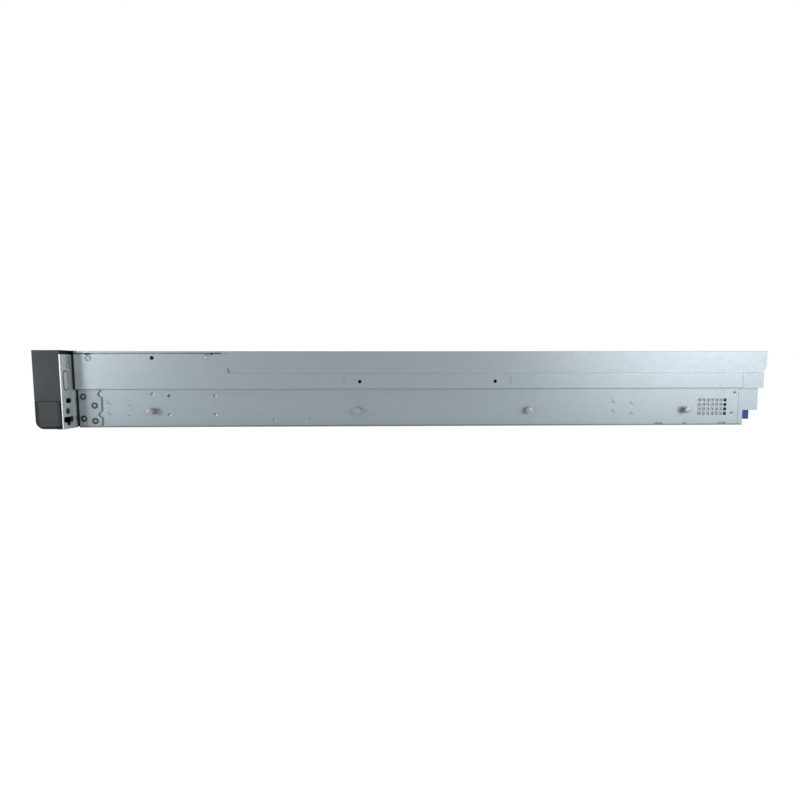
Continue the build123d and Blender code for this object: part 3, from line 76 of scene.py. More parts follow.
print("nodes", len(nodes), "length", round(cad_high.y - cad_low.y, 4))

# %% [markdown]
# The chassis is measured from the front edge of its steel body. The ears stand in front of that
# edge, so the edge itself is found from the side wall, and everything else is placed from it. The
# places of pieces are in millimetres: across from the middle, back from that edge, and up.

# %% Reference planes taken from the construction model
wall_low, wall_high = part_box("side_wall_right")
front_edge = wall_low.y
band_x = wall_high.x
sheet, leg_stands_out = 1.2, 1.8
side_mm = wall_low.x / MM + sheet
leg_face = side_mm + leg_stands_out
flange_face = -3.8
bay_pitch = 108.0
board_top = 9.0
print("front edge", round(front_edge, 4), "lower side", round(side_mm, 2))


def point(x, y, z):
    """A place given in millimetres, as a vector in metres."""
    return Vector((x * MM, front_edge + y * MM, z * MM))


# %% Clear the start-up scene
for item in list(bpy.data.objects):
    if item.name in ("Cube", "Light", "Camera"):
        bpy.data.objects.remove(item)

# %% [markdown]
# Node groups hold what several finishes share. Zinc-coated sheet has three things to show: the
# faint crystals of the zinc, long rolling streaks, and soft clouding where hands and handling have
# dulled it. They are worked out on Object coordinates, so a pattern keeps its real scale in metres.

# %% Small helpers for node trees
NUMBER, COLOR, VECTOR = "NodeSocketFloat", "NodeSocketColor", "NodeSocketVector"


def new_group(name, inputs, outputs):
    """A shader node group with the named sockets; each input is (name, type, default)."""
    group = bpy.data.node_groups.new(name, "ShaderNodeTree")
    for label, kind, value in inputs:
        socket = group.interface.new_socket(name=label, in_out="INPUT", socket_type=kind)
        socket.default_value = value
    for label, kind in outputs:
        group.interface.new_socket(name=label, in_out="OUTPUT", socket_type=kind)
    start = group.nodes.new("NodeGroupInput")
    end = group.nodes.new("NodeGroupOutput")
    return group, start, end


def add(tree, kind, **values):
    """A node with its properties or input values set by name."""
    node = tree.nodes.new(kind)
    for key, value in values.items():
        if key in node.inputs:
            node.inputs[key].default_value = value
        else:
            setattr(node, key, value)
    return node


def feed(tree, values, inputs):
    """Link each input to a socket, or set it to a constant."""
    for value, entry in zip(values, inputs):
        if isinstance(value, bpy.types.NodeSocket):
            tree.links.new(value, entry)
        else:
            entry.default_value = value


def math_node(tree, operation, *operands, kind="ShaderNodeMath"):
    """A Math node, or a Vector Math node; each operand is a socket or a constant."""
    node = add(tree, kind, operation=operation)
    feed(tree, operands, node.inputs)
    return node.outputs[0]


def times(tree, first, second):
    return math_node(tree, "MULTIPLY", first, second)


def vector_node(tree, operation, *operands):
    return math_node(tree, operation, *operands, kind="ShaderNodeVectorMath")


def texture(tree, kind, per_metre, **values):
    """A texture on Object coordinates, its features counted per metre along each axis."""
    coordinates = tree.nodes.new("ShaderNodeTexCoord")
    mapping = add(tree, "ShaderNodeMapping", Scale=per_metre)
    node = add(tree, kind, Scale=1.0, **values)
    tree.links.new(coordinates.outputs["Object"], mapping.inputs["Vector"])
    tree.links.new(mapping.outputs["Vector"], node.inputs["Vector"])
    return node


def split_axes(tree, vector):
    """The X, Y and Z sockets of a vector socket."""
    parts = tree.nodes.new("ShaderNodeSeparateXYZ")
    tree.links.new(vector, parts.inputs["Vector"])
    return parts.outputs


def tint(tree, color, factor, amount, target):
    """Mix a colour towards a target by a factor socket times an amount."""
    mix = add(tree, "ShaderNodeMix", data_type="RGBA")
    values = (times(tree, factor, amount), color, target)
    feed(tree, values, (mix.inputs["Factor"], mix.inputs["A"], mix.inputs["B"]))
    return mix.outputs["Result"]


# %% The zinc group: crystals, rolling streaks and clouding
crystals_per_metre = (260, 260, 260)
streaks_per_metre = (900, 7, 900)
clouds_per_metre = (14, 9, 14)
cloud_amount = 0.20


def make_zinc_group():
    group, start, end = new_group(
        "zinc_sheet",
        [("Color", COLOR, (0.5, 0.5, 0.5, 1)), ("Dark", COLOR, (0.3, 0.3, 0.3, 1)),
         ("Roughness", NUMBER, 0.4), ("Spangle", NUMBER, 0.3), ("Streaks", NUMBER, 0.3)],
        [("Color", COLOR), ("Roughness", NUMBER), ("Height", NUMBER)])
    crystals = texture(group, "ShaderNodeTexVoronoi", crystals_per_metre, Randomness=1.0)
    facets = group.nodes.new("ShaderNodeSeparateColor")
    group.links.new(crystals.outputs["Color"], facets.inputs["Color"])
    streaks = texture(group, "ShaderNodeTexNoise", streaks_per_metre, Detail=3.0)
    clouds = texture(group, "ShaderNodeTexNoise", clouds_per_metre, Detail=4.0, Roughness=0.6)
    spangle = times(group, facets.outputs["Red"], start.outputs["Spangle"])
    brushed = times(group, streaks.outputs["Fac"], start.outputs["Streaks"])
    cloud = times(group, clouds.outputs["Fac"], cloud_amount)
    factor = math_node(group, "ADD", math_node(group, "ADD", spangle, brushed), cloud)
    mixed = tint(group, start.outputs["Color"], factor, 1.0, start.outputs["Dark"])
    rough = times(group, math_node(group, "SUBTRACT", factor, 0.25), 0.12)
    roughness = math_node(group, "ADD", start.outputs["Roughness"], rough)
    fine = times(group, streaks.outputs["Fac"], 0.6)
    height = math_node(group, "ADD", fine, times(group, spangle, 0.5))
    feed(group, (mixed, roughness, height), end.inputs)
    return group


# %% The moulding group: the fine spark-eroded grain of a plastic housing, with handling shine
grains_per_metre = (2600, 2600, 2600)
patches_per_metre = (40, 40, 40)
patch_tint, patch_shine = 0.04, -0.16


def make_moulding_group():
    group, start, end = new_group(
        "moulded_grain",
        [("Color", COLOR, (0.1, 0.1, 0.1, 1)), ("Roughness", NUMBER, 0.5),
         ("Grain", NUMBER, 1.0)],
        [("Color", COLOR), ("Roughness", NUMBER), ("Height", NUMBER)])
    grain = texture(group, "ShaderNodeTexVoronoi", grains_per_metre, feature="SMOOTH_F1")
    patches = texture(group, "ShaderNodeTexNoise", patches_per_metre, Detail=5.0, Roughness=0.65)
    patch = patches.outputs["Fac"]
    lighter = tint(group, start.outputs["Color"], patch, patch_tint, (0.6, 0.6, 0.6, 1))
    shine = times(group, patch, patch_shine)
    roughness = math_node(group, "ADD", start.outputs["Roughness"], shine)
    height = times(group, grain.outputs["Distance"], start.outputs["Grain"])
    feed(group, (lighter, roughness, height), end.inputs)
    return group


# %% [markdown]
# Handled edges are polished first. A piece that fills a box has its edges where two of its three
# distances to that box are small at once, so the second smallest distance tells how near an edge
# a point is. The group returns that as a mask, broken up by noise so that it looks worn.

# %% The edge group: a worn line along the edges of a box
chips_per_metre = (180, 180, 180)


def make_edge_group():
    group, start, end = new_group(
        "edge_wear",
        [("Middle", VECTOR, (0, 0, 0)),
         ("Half", VECTOR, (0.1, 0.1, 0.1)),
         ("Width", NUMBER, 0.001)],
        [("Mask", NUMBER)])
    coordinates = group.nodes.new("ShaderNodeTexCoord")
    offset = vector_node(group, "SUBTRACT", coordinates.outputs["Object"], start.outputs["Middle"])
    inside = vector_node(group, "SUBTRACT", start.outputs["Half"],
                         vector_node(group, "ABSOLUTE", offset))
    x, y, z = split_axes(group, inside)
    lower = math_node(group, "MINIMUM", x, y)
    upper = math_node(group, "MAXIMUM", x, y)
    second = math_node(group, "MAXIMUM", lower, math_node(group, "MINIMUM", upper, z))
    nearness = math_node(group, "DIVIDE", second, start.outputs["Width"])
    line = math_node(group, "SUBTRACT", 1.0, nearness)
    noise = texture(group, "ShaderNodeTexNoise", chips_per_metre, Detail=4.0)
    worn = times(group, times(group, line, noise.outputs["Fac"]), 1.6)
    positive = math_node(group, "MAXIMUM", worn, 0.0)
    feed(group, [math_node(group, "MINIMUM", positive, 1.0)], end.inputs)
    return group


zinc_group = make_zinc_group()
moulding_group = make_moulding_group()
edge_group = make_edge_group()
print("node groups", [group.name for group in bpy.data.node_groups])


# %% [markdown]
# A material is a Principled shader with one of the groups in front of it. Numbers that stay the
# same all over, such as Metallic, are set on the shader's own socket. Where a piece has two
# colours, as the ear has, a mask on Object coordinates parts them at a plane.

# %% Builders of the finishes
zinc_bump, zinc_depth = 0.12, 0.2 * MM
grain_depth = 0.1 * MM
plastic_shine = 0.25


def principled(name, metallic=0.0):
    material = bpy.data.materials.new(name)
    material.use_nodes = True
    tree = material.node_tree
    shader = tree.nodes["Principled BSDF"]
    shader.inputs["Metallic"].default_value = metallic
    return material, tree, shader


def place_group(tree, group, shader, bump_strength, bump_distance, **values):
    """Put a group in a material and feed colour, roughness and bump from it."""
    node = add(tree, "ShaderNodeGroup", node_tree=group, **values)
    tree.links.new(node.outputs["Color"], shader.inputs["Base Color"])
    tree.links.new(node.outputs["Roughness"], shader.inputs["Roughness"])
    bump = add(tree, "ShaderNodeBump", Strength=bump_strength, Distance=bump_distance)
    tree.links.new(node.outputs["Height"], bump.inputs["Height"])
    tree.links.new(bump.outputs["Normal"], shader.inputs["Normal"])


def over_color(material, mask, target, amount=1.0):
    """Mix what feeds Base Color towards another colour where a mask is set."""
    tree = material.node_tree
    base = tree.nodes["Principled BSDF"].inputs["Base Color"]
    tree.links.new(tint(tree, base.links[0].from_socket, mask, amount, (*target, 1)), base)


def wear_edges(material, box, width, amount, target):
    """Lighten the edges of a piece that fills the given box."""
    low, high = box
    node = add(material.node_tree, "ShaderNodeGroup", node_tree=edge_group,
               Middle=(low + high) / 2, Half=(high - low) / 2, Width=width)
    over_color(material, node.outputs["Mask"], target, amount)
    return material


def zinc_sheet(name, color, dark, roughness=0.42, spangle=0.3, streaks=0.3, metallic=0.55):
    material, tree, shader = principled(name, metallic)
    place_group(tree, zinc_group, shader, zinc_bump, zinc_depth, Color=(*color, 1),
                Dark=(*dark, 1), Roughness=roughness, Spangle=spangle, Streaks=streaks)
    return material


def moulded_plastic(name, color, roughness, grain=1.0, bump=0.25):
    material, tree, shader = principled(name)
    shader.inputs["Specular IOR Level"].default_value = plastic_shine
    place_group(tree, moulding_group, shader, bump, grain_depth, Color=(*color, 1),
                Roughness=roughness, Grain=grain)
    return material


def plane_mask(tree, axis, limit, above=True):
    """1 where an Object coordinate lies above (or below) a limit in metres, else 0."""
    coordinates = tree.nodes.new("ShaderNodeTexCoord")
    place = split_axes(tree, coordinates.outputs["Object"])[axis]
    return math_node(tree, "GREATER_THAN" if above else "LESS_THAN", place, limit)


# %% The steel finishes
side_zinc = ((0.315, 0.365, 0.392), (0.265, 0.312, 0.338))
steels = {
    "side_steel": (*side_zinc, 0.36, 0.2, 0.25),
    # The base pan is the side's zinc sheet painted darker: painted shade for the dark notches along
    # the bottom.
    "pan_steel": ((0.20, 0.23, 0.25), (0.15, 0.175, 0.19), 0.42),
    "frame_steel": (*side_zinc, 0.38, 0.2, 0.25),
    "hood_steel": (*side_zinc, 0.38, 0.2, 0.25),
    "inner_steel": ((0.46, 0.49, 0.51), (0.37, 0.40, 0.42), 0.42, 0.3),
    "bright_steel": ((0.66, 0.68, 0.69), (0.52, 0.54, 0.55), 0.30, 0.1, 0.3, 0.9),
    "stud_steel": ((0.36, 0.365, 0.36), (0.28, 0.285, 0.28), 0.36, 0.1, 0.5),
    "screw_face": ((0.25, 0.28, 0.29), (0.18, 0.20, 0.21), 0.38, 0.1, 0.4),
    # The pressed marks are the side's zinc painted darker: painted shade.
    "mark_steel": ((0.20, 0.235, 0.255), (0.17, 0.20, 0.22), 0.45),
    "screw_steel": ((0.055, 0.055, 0.06), (0.02, 0.02, 0.02), 0.35, 0.1, 0.2, 0.8),
    "fin_aluminium": ((0.66, 0.67, 0.68), (0.50, 0.51, 0.52), 0.34, 0.0, 0.7),
    "gold_contact": ((0.83, 0.60, 0.20), (0.62, 0.42, 0.12), 0.28, 0.0, 0.4, 0.95),
}
finish = {name: zinc_sheet(name, *values) for name, values in steels.items()}
print("steel finishes", len(finish))

# %% The plastic finishes
plastics = {
    "ear_plastic": ((0.022, 0.028, 0.031), 0.56, 1.0, 0.25),
    "black_plastic": ((0.012, 0.012, 0.013), 0.50, 1.0, 0.25),
    "carrier_plastic": ((0.030, 0.032, 0.034), 0.50, 1.0, 0.25),
    "lever_plastic": ((0.070, 0.073, 0.076), 0.45, 1.0, 0.25),
    "blue_plastic": ((0.006, 0.045, 0.27), 0.40, 0.6, 0.12),
    "duct_plastic": ((0.020, 0.021, 0.023), 0.35, 0.4, 0.20),
    "chip_black": ((0.016, 0.016, 0.018), 0.40, 0.4, 0.10),
    "board_green": ((0.010, 0.085, 0.045), 0.30, 0.2, 0.10),
    "socket_ivory": ((0.55, 0.53, 0.46), 0.45, 0.5, 0.10),
    "lamp_lens": ((0.30, 0.42, 0.34), 0.20, 0.2, 0.05),
}
for name, values in plastics.items():
    finish[name] = moulded_plastic(name, *values)
print("finishes", len(finish))


# %% [markdown]
# The ear is moulded in one grey. Where it meets the steel flange it is painted black, as painted
# shade for the shadowed gap there. Below a plane at the seam above its release lever it is painted
# black too, as a painted shadow line. The flange is painted brighter than the leg that runs back
# along the side, a painted reflection of the bright surround it faces. The boards are green under
# black parts. All these are one construction piece each, so their materials change colour at planes.

# %% Two-colour finishes of the ears and brackets, with painted shade and a painted reflection
painted_shade_black = (0.003, 0.003, 0.003)
tip_black = (0.004, 0.004, 0.005)
ear_color = plastics["ear_plastic"][0]
shade_gap_ahead, shadow_line_top = 1.3, 31.9
nose_deep, sole_tall = 4.2, 3.0


def ear_finish(name, box):
    material = moulded_plastic(name, ear_color, 0.52)
    tree = material.node_tree
    # Painted shade: black behind a plane near the flange for the shadowed gap, and black below a
    # plane at the lever's seam as a painted shadow line.
    painted_shade_rim = plane_mask(tree, "Y", front_edge + (flange_face - shade_gap_ahead) * MM)
    painted_shadow_line = plane_mask(tree, "Z", shadow_line_top * MM, above=False)
    over_color(material, math_node(tree, "MAXIMUM", painted_shade_rim, painted_shadow_line), painted_shade_black)
    return wear_edges(material, box, 1.2 * MM, 0.10, (0.30, 0.32, 0.32))


def ear_lever_finish(name, box):
    material = moulded_plastic(name, ear_color, 0.5)
    tree = material.node_tree
    nose = plane_mask(tree, "Y", box[0].y + nose_deep * MM, above=False)
    sole = plane_mask(tree, "Z", box[0].z + sole_tall * MM, above=False)
    over_color(material, math_node(tree, "MAXIMUM", nose, sole), tip_black)
    return material


def bracket_finish():
    # The flange is painted brighter than the leg, a painted reflection of the bright surround it
    # faces at the rear; the leg takes the darker tone of the side zinc.
    material = zinc_sheet("bracket_steel", (0.60, 0.65, 0.67), (0.50, 0.55, 0.57), 0.38, 0.15, 0.4)
    leg = plane_mask(material.node_tree, "Y", front_edge + (flange_face + 0.1) * MM)
    over_color(material, leg, side_zinc[1])
    return material


# %% Two-colour finishes of the boards
chip_color = plastics["chip_black"][0]
socket_steel = (0.50, 0.52, 0.53)
ports_from, port_deep = 754.5, 14.0


def board_finish(name):
    """A green board whose parts above its face are black, and steel where the sockets stand."""
    material = moulded_plastic(name, *plastics["board_green"])
    tree = material.node_tree
    raised = plane_mask(tree, "Z", (board_top + 0.3) * MM)
    over_color(material, raised, chip_color)
    ports = times(tree, plane_mask(tree, "Y", front_edge + ports_from * MM), raised)
    over_color(material, ports, socket_steel)
    port_end = front_edge + (ports_from + port_deep) * MM
    deep = times(tree, ports, plane_mask(tree, "Y", port_end, above=False))
    over_color(material, deep, chip_color, 0.92)
    return material


def memory_finish(socket_top):
    """Green memory boards standing in black sockets."""
    material = moulded_plastic("memory_board", *plastics["board_green"])
    over_color(material, plane_mask(material.node_tree, "Z", socket_top * MM, above=False),
               chip_color)
    return material


# %% [markdown]
# A drive carrier holds its disk drive between two dark rails. The bays repeat across the front, so
# the place across is wrapped to one bay first, and a plain limit then tells the drive from the
# rails.

# %% The finish of the drive carriers
def carrier_finish(reach, bezel_rear):
    """Dark carriers, with the bare metal of the disk drive between their rails."""
    material = moulded_plastic("carrier_plastic", *plastics["carrier_plastic"])
    tree = material.node_tree
    coordinates = tree.nodes.new("ShaderNodeTexCoord")
    across = split_axes(tree, coordinates.outputs["Object"])["X"]
    half_pitch = bay_pitch / 2 * MM
    shifted = math_node(tree, "SUBTRACT", across, half_pitch)
    wrapped = math_node(tree, "WRAP", shifted, half_pitch, -half_pitch)
    between = math_node(tree, "LESS_THAN", math_node(tree, "ABSOLUTE", wrapped), reach * MM)
    behind = plane_mask(tree, "Y", front_edge + bezel_rear * MM)
    drive = times(tree, between, behind)
    over_color(material, drive, (0.40, 0.42, 0.43))
    tree.links.new(times(tree, drive, 0.6),
                   tree.nodes["Principled BSDF"].inputs["Metallic"])
    return material


# %% Make them
finish["bracket_steel"] = bracket_finish()
finish["motherboard"] = board_finish("motherboard")
finish["memory_board"] = memory_finish(18.2)
finish["carrier_plastic"] = carrier_finish(51.2, 1.5)
for side in ("right", "left"):
    for name, make in ((f"{side}_ear_housing", ear_finish), (f"{side}_ear_lever", ear_lever_finish)):
        finish[name] = make(name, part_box(name))
for name in ("top_hood", "front_cover"):
    finish[name] = wear_edges(zinc_sheet(name, *side_zinc, 0.36, 0.2, 0.25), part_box(name),
                              1.2 * MM, 0.25, (0.55, 0.60, 0.62))
print("two-colour finishes done")

# %% [markdown]
# Each construction piece now takes its finish. Numbered pieces, such as the twelve drive carriers,
# share one. A piece that is not in the table has a finish under its own name.

# %% Dress the construction pieces
finish_of = {
    "side_wall_right": "side_steel", "side_wall_left": "side_steel", "base_pan": "pan_steel",
    "rear_frame": "frame_steel", "hood_latch": "black_plastic", "ear_brackets": "bracket_steel",
    "power_button": "lever_plastic", "uid_button": "lever_plastic",
    "drive_cage": "inner_steel", "drive_backplane": "board_green",
    "drive_carrier": "carrier_plastic", "carrier_lever": "lever_plastic",
    "fan_frames": "black_plastic", "fan_rotor": "black_plastic",
    "cpu_heatsinks": "fin_aluminium", "memory_modules": "memory_board",
    "air_duct": "duct_plastic", "riser_modules": "inner_steel",
    "power_supply": "inner_steel", "psu_latch": "blue_plastic",
    "psu_handle": "black_plastic", "psu_rotor": "black_plastic",
    "rail_studs": "stud_steel", "case_screws": "screw_steel",
}
for name, item in nodes.items():
    kind = name.rstrip("_0123456789")
    item.data.materials.clear()
    item.data.materials.append(finish[finish_of.get(kind, kind)])
print("dressed", len(nodes), "construction pieces")

# %% [markdown]
# Now the small pieces. Each starts as a primitive at its real size and place, is opened in edit
# mode and shaped by bevels, insets and extrusions, and is closed with its normals facing out.
# Its place goes into the mesh, so that the object itself stays at the origin.

# %% Helpers for modelling by hand
SIDE_WAYS = {"+X": (1, 0, 0), "+Y": (0, 1, 0), "-Y": (0, -1, 0), "+Z": (0, 0, 1)}
touch = 0.02 * MM       # places nearer to each other than this lie in one plane
facing = 0.99           # the share of a direction in the normal of a face that looks that way
smooth_angle = math.radians(35)


def open_mesh(name):
    """Name the new primitive, settle its place in its mesh and open it in edit mode."""
    piece = bpy.context.object
    piece.name = name
    bpy.ops.object.transform_apply(location=True, rotation=True, scale=True)
    bpy.ops.object.mode_set(mode="EDIT")
    return piece


def choose(piece, kind, test):
    """Select the faces or edges whose middle and direction pass a test."""
    bpy.ops.mesh.select_mode(type=kind)
    bpy.ops.mesh.select_all(action="DESELECT")
    mesh = bmesh.from_edit_mesh(piece.data)
    for item in mesh.faces if kind == "FACE" else mesh.edges:
        middle = sum((corner.co for corner in item.verts), Vector()) / len(item.verts)
        if kind == "FACE":
            way = item.normal
        else:
            way = (item.verts[1].co - item.verts[0].co).normalized()
        item.select_set(test(middle, way))
    bmesh.update_edit_mesh(piece.data)


def choose_all():
    """Select the whole mesh."""
    bpy.ops.mesh.select_mode(type="FACE")
    bpy.ops.mesh.select_all(action="SELECT")


def push(shift):
    """Extrude what is selected by a vector in millimetres."""
    bpy.ops.mesh.extrude_region_move(TRANSFORM_OT_translate={"value": Vector(shift) * MM})


def close_mesh(piece):
    """Turn all normals outwards, leave edit mode and smooth the round parts."""
    choose_all()
    bpy.ops.mesh.normals_make_consistent(inside=False)
    bpy.ops.object.mode_set(mode="OBJECT")
    bpy.ops.object.shade_smooth_by_angle(angle=smooth_angle)
    return piece


def block(name, low, high, edge=0.3):
    """A box between two corners in millimetres, with all its edges broken."""
    bpy.ops.object.select_all(action="DESELECT")
    middle = [(a + b) / 2 for a, b in zip(low, high)]
    size = [(b - a) * MM for a, b in zip(low, high)]
    bpy.ops.mesh.primitive_cube_add(size=1.0, location=point(*middle), scale=size)
    piece = open_mesh(name)
    choose_all()
    bpy.ops.mesh.bevel(offset=edge * MM, segments=2, affect="EDGES")
    return close_mesh(piece)


def turned(name, place, way, radius, depth, steps=(), sides=24, edge=0.15):
    """A round piece that stands on a place; steps are (inset, rise) on its outer face."""
    bpy.ops.object.select_all(action="DESELECT")
    direction = Vector(SIDE_WAYS[way])
    turn = direction.to_track_quat("Z", "Y").to_euler()
    middle = point(*place) + direction * depth * MM / 2
    bpy.ops.mesh.primitive_cylinder_add(vertices=sides, radius=radius * MM, depth=depth * MM,
                                        location=middle, rotation=turn)
    piece = open_mesh(name)
    top = point(*place) + direction * depth * MM
    choose(piece, "EDGE", lambda middle, run: (middle - top).dot(direction) > -touch)
    bpy.ops.mesh.bevel(offset=edge * MM, segments=2, affect="EDGES")
    choose(piece, "FACE", lambda middle, normal: normal.dot(direction) > facing
           and (middle - top).dot(direction) > -touch)
    for inset, rise in steps:
        bpy.ops.mesh.inset(thickness=inset * MM)
        if rise:
            push(direction * rise)
    return close_mesh(piece)


def seat(piece, finish_name, slot_name=None, body="chassis"):
    """Give a piece its finish and the body it rides on; the slot name is not used."""
    if slot_name is None:
        slot_name = finish_name
    piece.data.materials.clear()
    piece.data.materials.append(finish[finish_name])
    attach(piece, body)
    return piece


def copied(piece, name, shift, body=None):
    """A copy with its own mesh, moved by millimetres, riding on the same body or another."""
    twin = piece.copy()
    twin.data = piece.data.copy()
    twin.name = name
    twin.data.transform(Matrix.Translation(Vector(shift) * MM))
    bpy.context.scene.collection.objects.link(twin)
    if body is not None:
        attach(twin, body)
    return twin


def copies(shifts, *firsts):
    """Copies of first pieces, numbered from 2, one of each for every shift."""
    return [copied(first, first.name.removesuffix("1") + str(number), shift)
            for number, shift in enumerate(shifts, 2) for first in firsts]


def row_of(count, step, stem, low, high, edge, *dress):
    """Equal blocks a step apart: the first is modelled and seated, the others are its copies."""
    first = seat(block(f"{stem}_1", low, high, edge), *dress)
    return [first, *copies([Vector(step) * number for number in range(1, count)], first)]


def mirrored(piece):
    """The same piece on the left side, turned right side out again."""
    twin = copied(piece, piece.name.replace("right", "left"), (0, 0, 0))
    twin.data.transform(Matrix.Scale(-1, 4, (1, 0, 0)))
    twin.data.flip_normals()


# %% [markdown]
# The right side is what the photograph shows. Its rail studs are riveted through the sheet: a
# collar lies on the wall, and the head has a rounded rim and a small centre mark from turning.

# %% Rail stud collars and heads
stud_rows = (83.5, 318.0, 515.7, 702.0)
stud_height = 18.3
stud_end = side_mm + 8.2
collar = turned("right_stud_collar_1", (side_mm, stud_rows[0], stud_height), "+X", 3.5, 0.8,
                edge=0.25)
seat(collar, "screw_face", "stud_steel")
cap = turned("right_stud_cap_1", (stud_end, stud_rows[0], stud_height), "+X", 3.7, 0.6,
             steps=((1.9, 0.0), (0.3, -0.35)), edge=0.45)
seat(cap, "stud_steel")
stud_shifts = [(0, row - stud_rows[0], 0) for row in stud_rows[1:]]
side_pieces = [collar, cap, *copies(stud_shifts, collar, cap)]
print("stud pieces", len(side_pieces))

# %% [markdown]
# The four screws of the bracket show a dark ring round a lighter face with its driver recess.
# The face is a thin turned disc with a round pocket, set in the head of each screw.

# %% Screw faces of the bracket
leg_screws = ((6.6, 35.4), (19.0, 25.3), (6.4, 10.2), (19.0, 7.5))
first_y, first_z = leg_screws[0]
face = turned("right_screw_face_1", (leg_face - 0.7, first_y, first_z), "+X", 1.9, 0.65,
              steps=((0.8, 0.0), (0.12, -0.45)), sides=18)
seat(face, "screw_face", "stud_steel")
side_pieces += [face, *copies([(0, y - first_y, z - first_z) for y, z in leg_screws[1:]], face)]
print("screw faces", len(leg_screws))

# %% [markdown]
# Where the inner brackets are joined, the press leaves small raised dashes and corners on the
# outside. They stand about a tenth of a millimetre proud, just enough to catch light, and are
# painted darker than the sheet as painted shade.

# %% Pressed marks on the lower side, painted darker as painted shade
mark_places = ((34.1, 27.4), (34.7, 14.9), (617.0, 27.5), (638.7, 25.5), (617.4, 16.1),
               (639.1, 13.8))
dash_places = ((56.2, 25.4), (55.9, 13.6))
mark_long, mark_thick, mark_proud, mark_round = 4.4, 0.9, 0.12, 0.12
leg_long, leg_rise = 3.4, 2.0
leg_shift = 0.5 - mark_long / 2


def pressed_dash(name, y, z, along, up):
    """A low rounded dash on the lower side, painted darker than the sheet as painted shade."""
    low = (side_mm - 0.1, y - along / 2, z - up / 2)
    high = (side_mm + mark_proud, y + along / 2, z + up / 2)
    return seat(block(name, low, high, mark_round), "mark_steel", "chassis_sheet")


for number, (y, z) in enumerate(mark_places + dash_places, 1):
    side_pieces.append(pressed_dash(f"right_mark_{number}", y, z, mark_long, mark_thick))
for number, (y, z) in enumerate(mark_places, 1):
    side_pieces.append(pressed_dash(f"right_mark_leg_{number}", y + leg_shift, z + leg_rise,
                                    mark_thick, leg_long))
for piece in side_pieces:
    mirrored(piece)
print("pieces on the two sides", 2 * len(side_pieces))

# %% [markdown]
# The long slot in the flange has a black rim, painted shade for the shadow round the slot's recess.
# It starts as a circle, and its upper half is moved up to make an oval. An inset and a deletion
# leave a flat ring, which an extrusion makes solid.

# %% Rim of the long slot, black as painted shade
slot_x, slot_z, slot_wide, slot_tall = 233.7, 54.0, 6.6, 21.0
flat_turn = (math.pi / 2, 0, 0)


def hollow_out(piece, band, thick):
    """Leave a band along the outline of a flat piece, and give it its thickness."""
    choose_all()
    bpy.ops.mesh.inset(thickness=band * MM)
    bpy.ops.mesh.delete(type="FACE")
    choose_all()
    push((0, thick, 0))
    return close_mesh(piece)


def oval_rim(name, place, wide, tall, band, thick):
    """A flat ring round an oval, on a plane that faces the rear."""
    bpy.ops.object.select_all(action="DESELECT")
    x, y, z = place
    straight = tall - wide
    base = z - straight / 2
    bpy.ops.mesh.primitive_circle_add(vertices=32, radius=(wide / 2 + band) * MM,
                                      fill_type="NGON", rotation=flat_turn,
                                      location=point(x, y, base))
    piece = open_mesh(name)
    bpy.ops.mesh.select_mode(type="VERT")
    bpy.ops.mesh.select_all(action="DESELECT")
    mesh = bmesh.from_edit_mesh(piece.data)
    for corner in mesh.verts:
        corner.select_set(corner.co.z > base * MM - touch)
    bmesh.update_edit_mesh(piece.data)
    bpy.ops.transform.translate(value=(0, 0, straight * MM))
    return hollow_out(piece, band, thick)


painted_shade_rim = oval_rim("right_slot_rim", (slot_x, flange_face - 0.1, slot_z), slot_wide, slot_tall, 0.7,
               0.45)
seat(painted_shade_rim, "black_plastic")
mirrored(painted_shade_rim)
print("slot rims", 2)

# %% [markdown]
# Above the slot two small rings are pressed into the flange, one over the other. Thin dark rings
# lie in their grooves. They use the same function as the slot's rim, with no straight stretch.

# %% Rings above the slot
ring_x, ring_wide = 228.4, 4.8
for number, ring_z in enumerate((77.2, 70.6), 1):
    ring = oval_rim(f"right_flange_ring_{number}", (ring_x, flange_face - 0.2, ring_z), ring_wide,
                    ring_wide, 0.65, 0.26)
    seat(ring, "black_plastic", "flange_steel")
    mirrored(ring)
print("flange rings", 4)

# %% [markdown]
# Between an ear's cover and its release lever lies a black sheet, painted shade for the narrow gap
# between them. It is flat and closes the gap, so that no light shows through it, and it leaves the
# groove round the outside.

# %% Black sheets in the ears' gaps, as painted shade
# A thin black sheet in the gap under the cover: painted shade.
gap_shade_sheet = block("right_ear_seal", (217.0, -33.6, 30.92), (240.8, -7.5, 31.1), 0.03)
seat(gap_shade_sheet, "chip_black", "ear_plastic")
mirrored(gap_shade_sheet)
print("ear seals", 2)

# %% [markdown]
# The right ear carries the power button with its ring-and-bar sign, the locator button and a
# status lamp. The left ear has two upright sockets, each with a tongue and four gold contacts.
# What is on a button rides with the button.

# %% Signs and lamps on the right ear
ear_middle, ear_face = 228.85, -34.4
power_z, locator_z, lamp_z = 72.0, 56.0, 43.0
power_face = ear_face + 0.1
sign_hole, sign_band, sign_thick = 3.1, 0.35, 0.15
sign = oval_rim("power_sign_ring", (ear_middle, power_face + 0.05 - sign_thick, power_z), sign_hole,
                sign_hole, sign_band, sign_thick)
seat(sign, "lamp_lens", "button_plastic", "power_button")
bar = block("power_sign_bar", (ear_middle - 0.2, power_face - 0.16, power_z + 0.6),
            (ear_middle + 0.2, power_face + 0.05, power_z + 2.3), 0.06)
seat(bar, "lamp_lens", "button_plastic", "power_button")
dot = turned("locator_lens", (ear_middle, power_face + 0.05, locator_z), "-Y", 1.1, 0.2,
             edge=0.08)
seat(dot, "lamp_lens", "button_plastic", "uid_button")
lens = block("status_lens", (ear_middle - 3.8, ear_face + 0.15, lamp_z - 0.85),
             (ear_middle + 3.8, ear_face + 1.0, lamp_z + 0.85), 0.2)
seat(lens, "lamp_lens", "button_plastic")
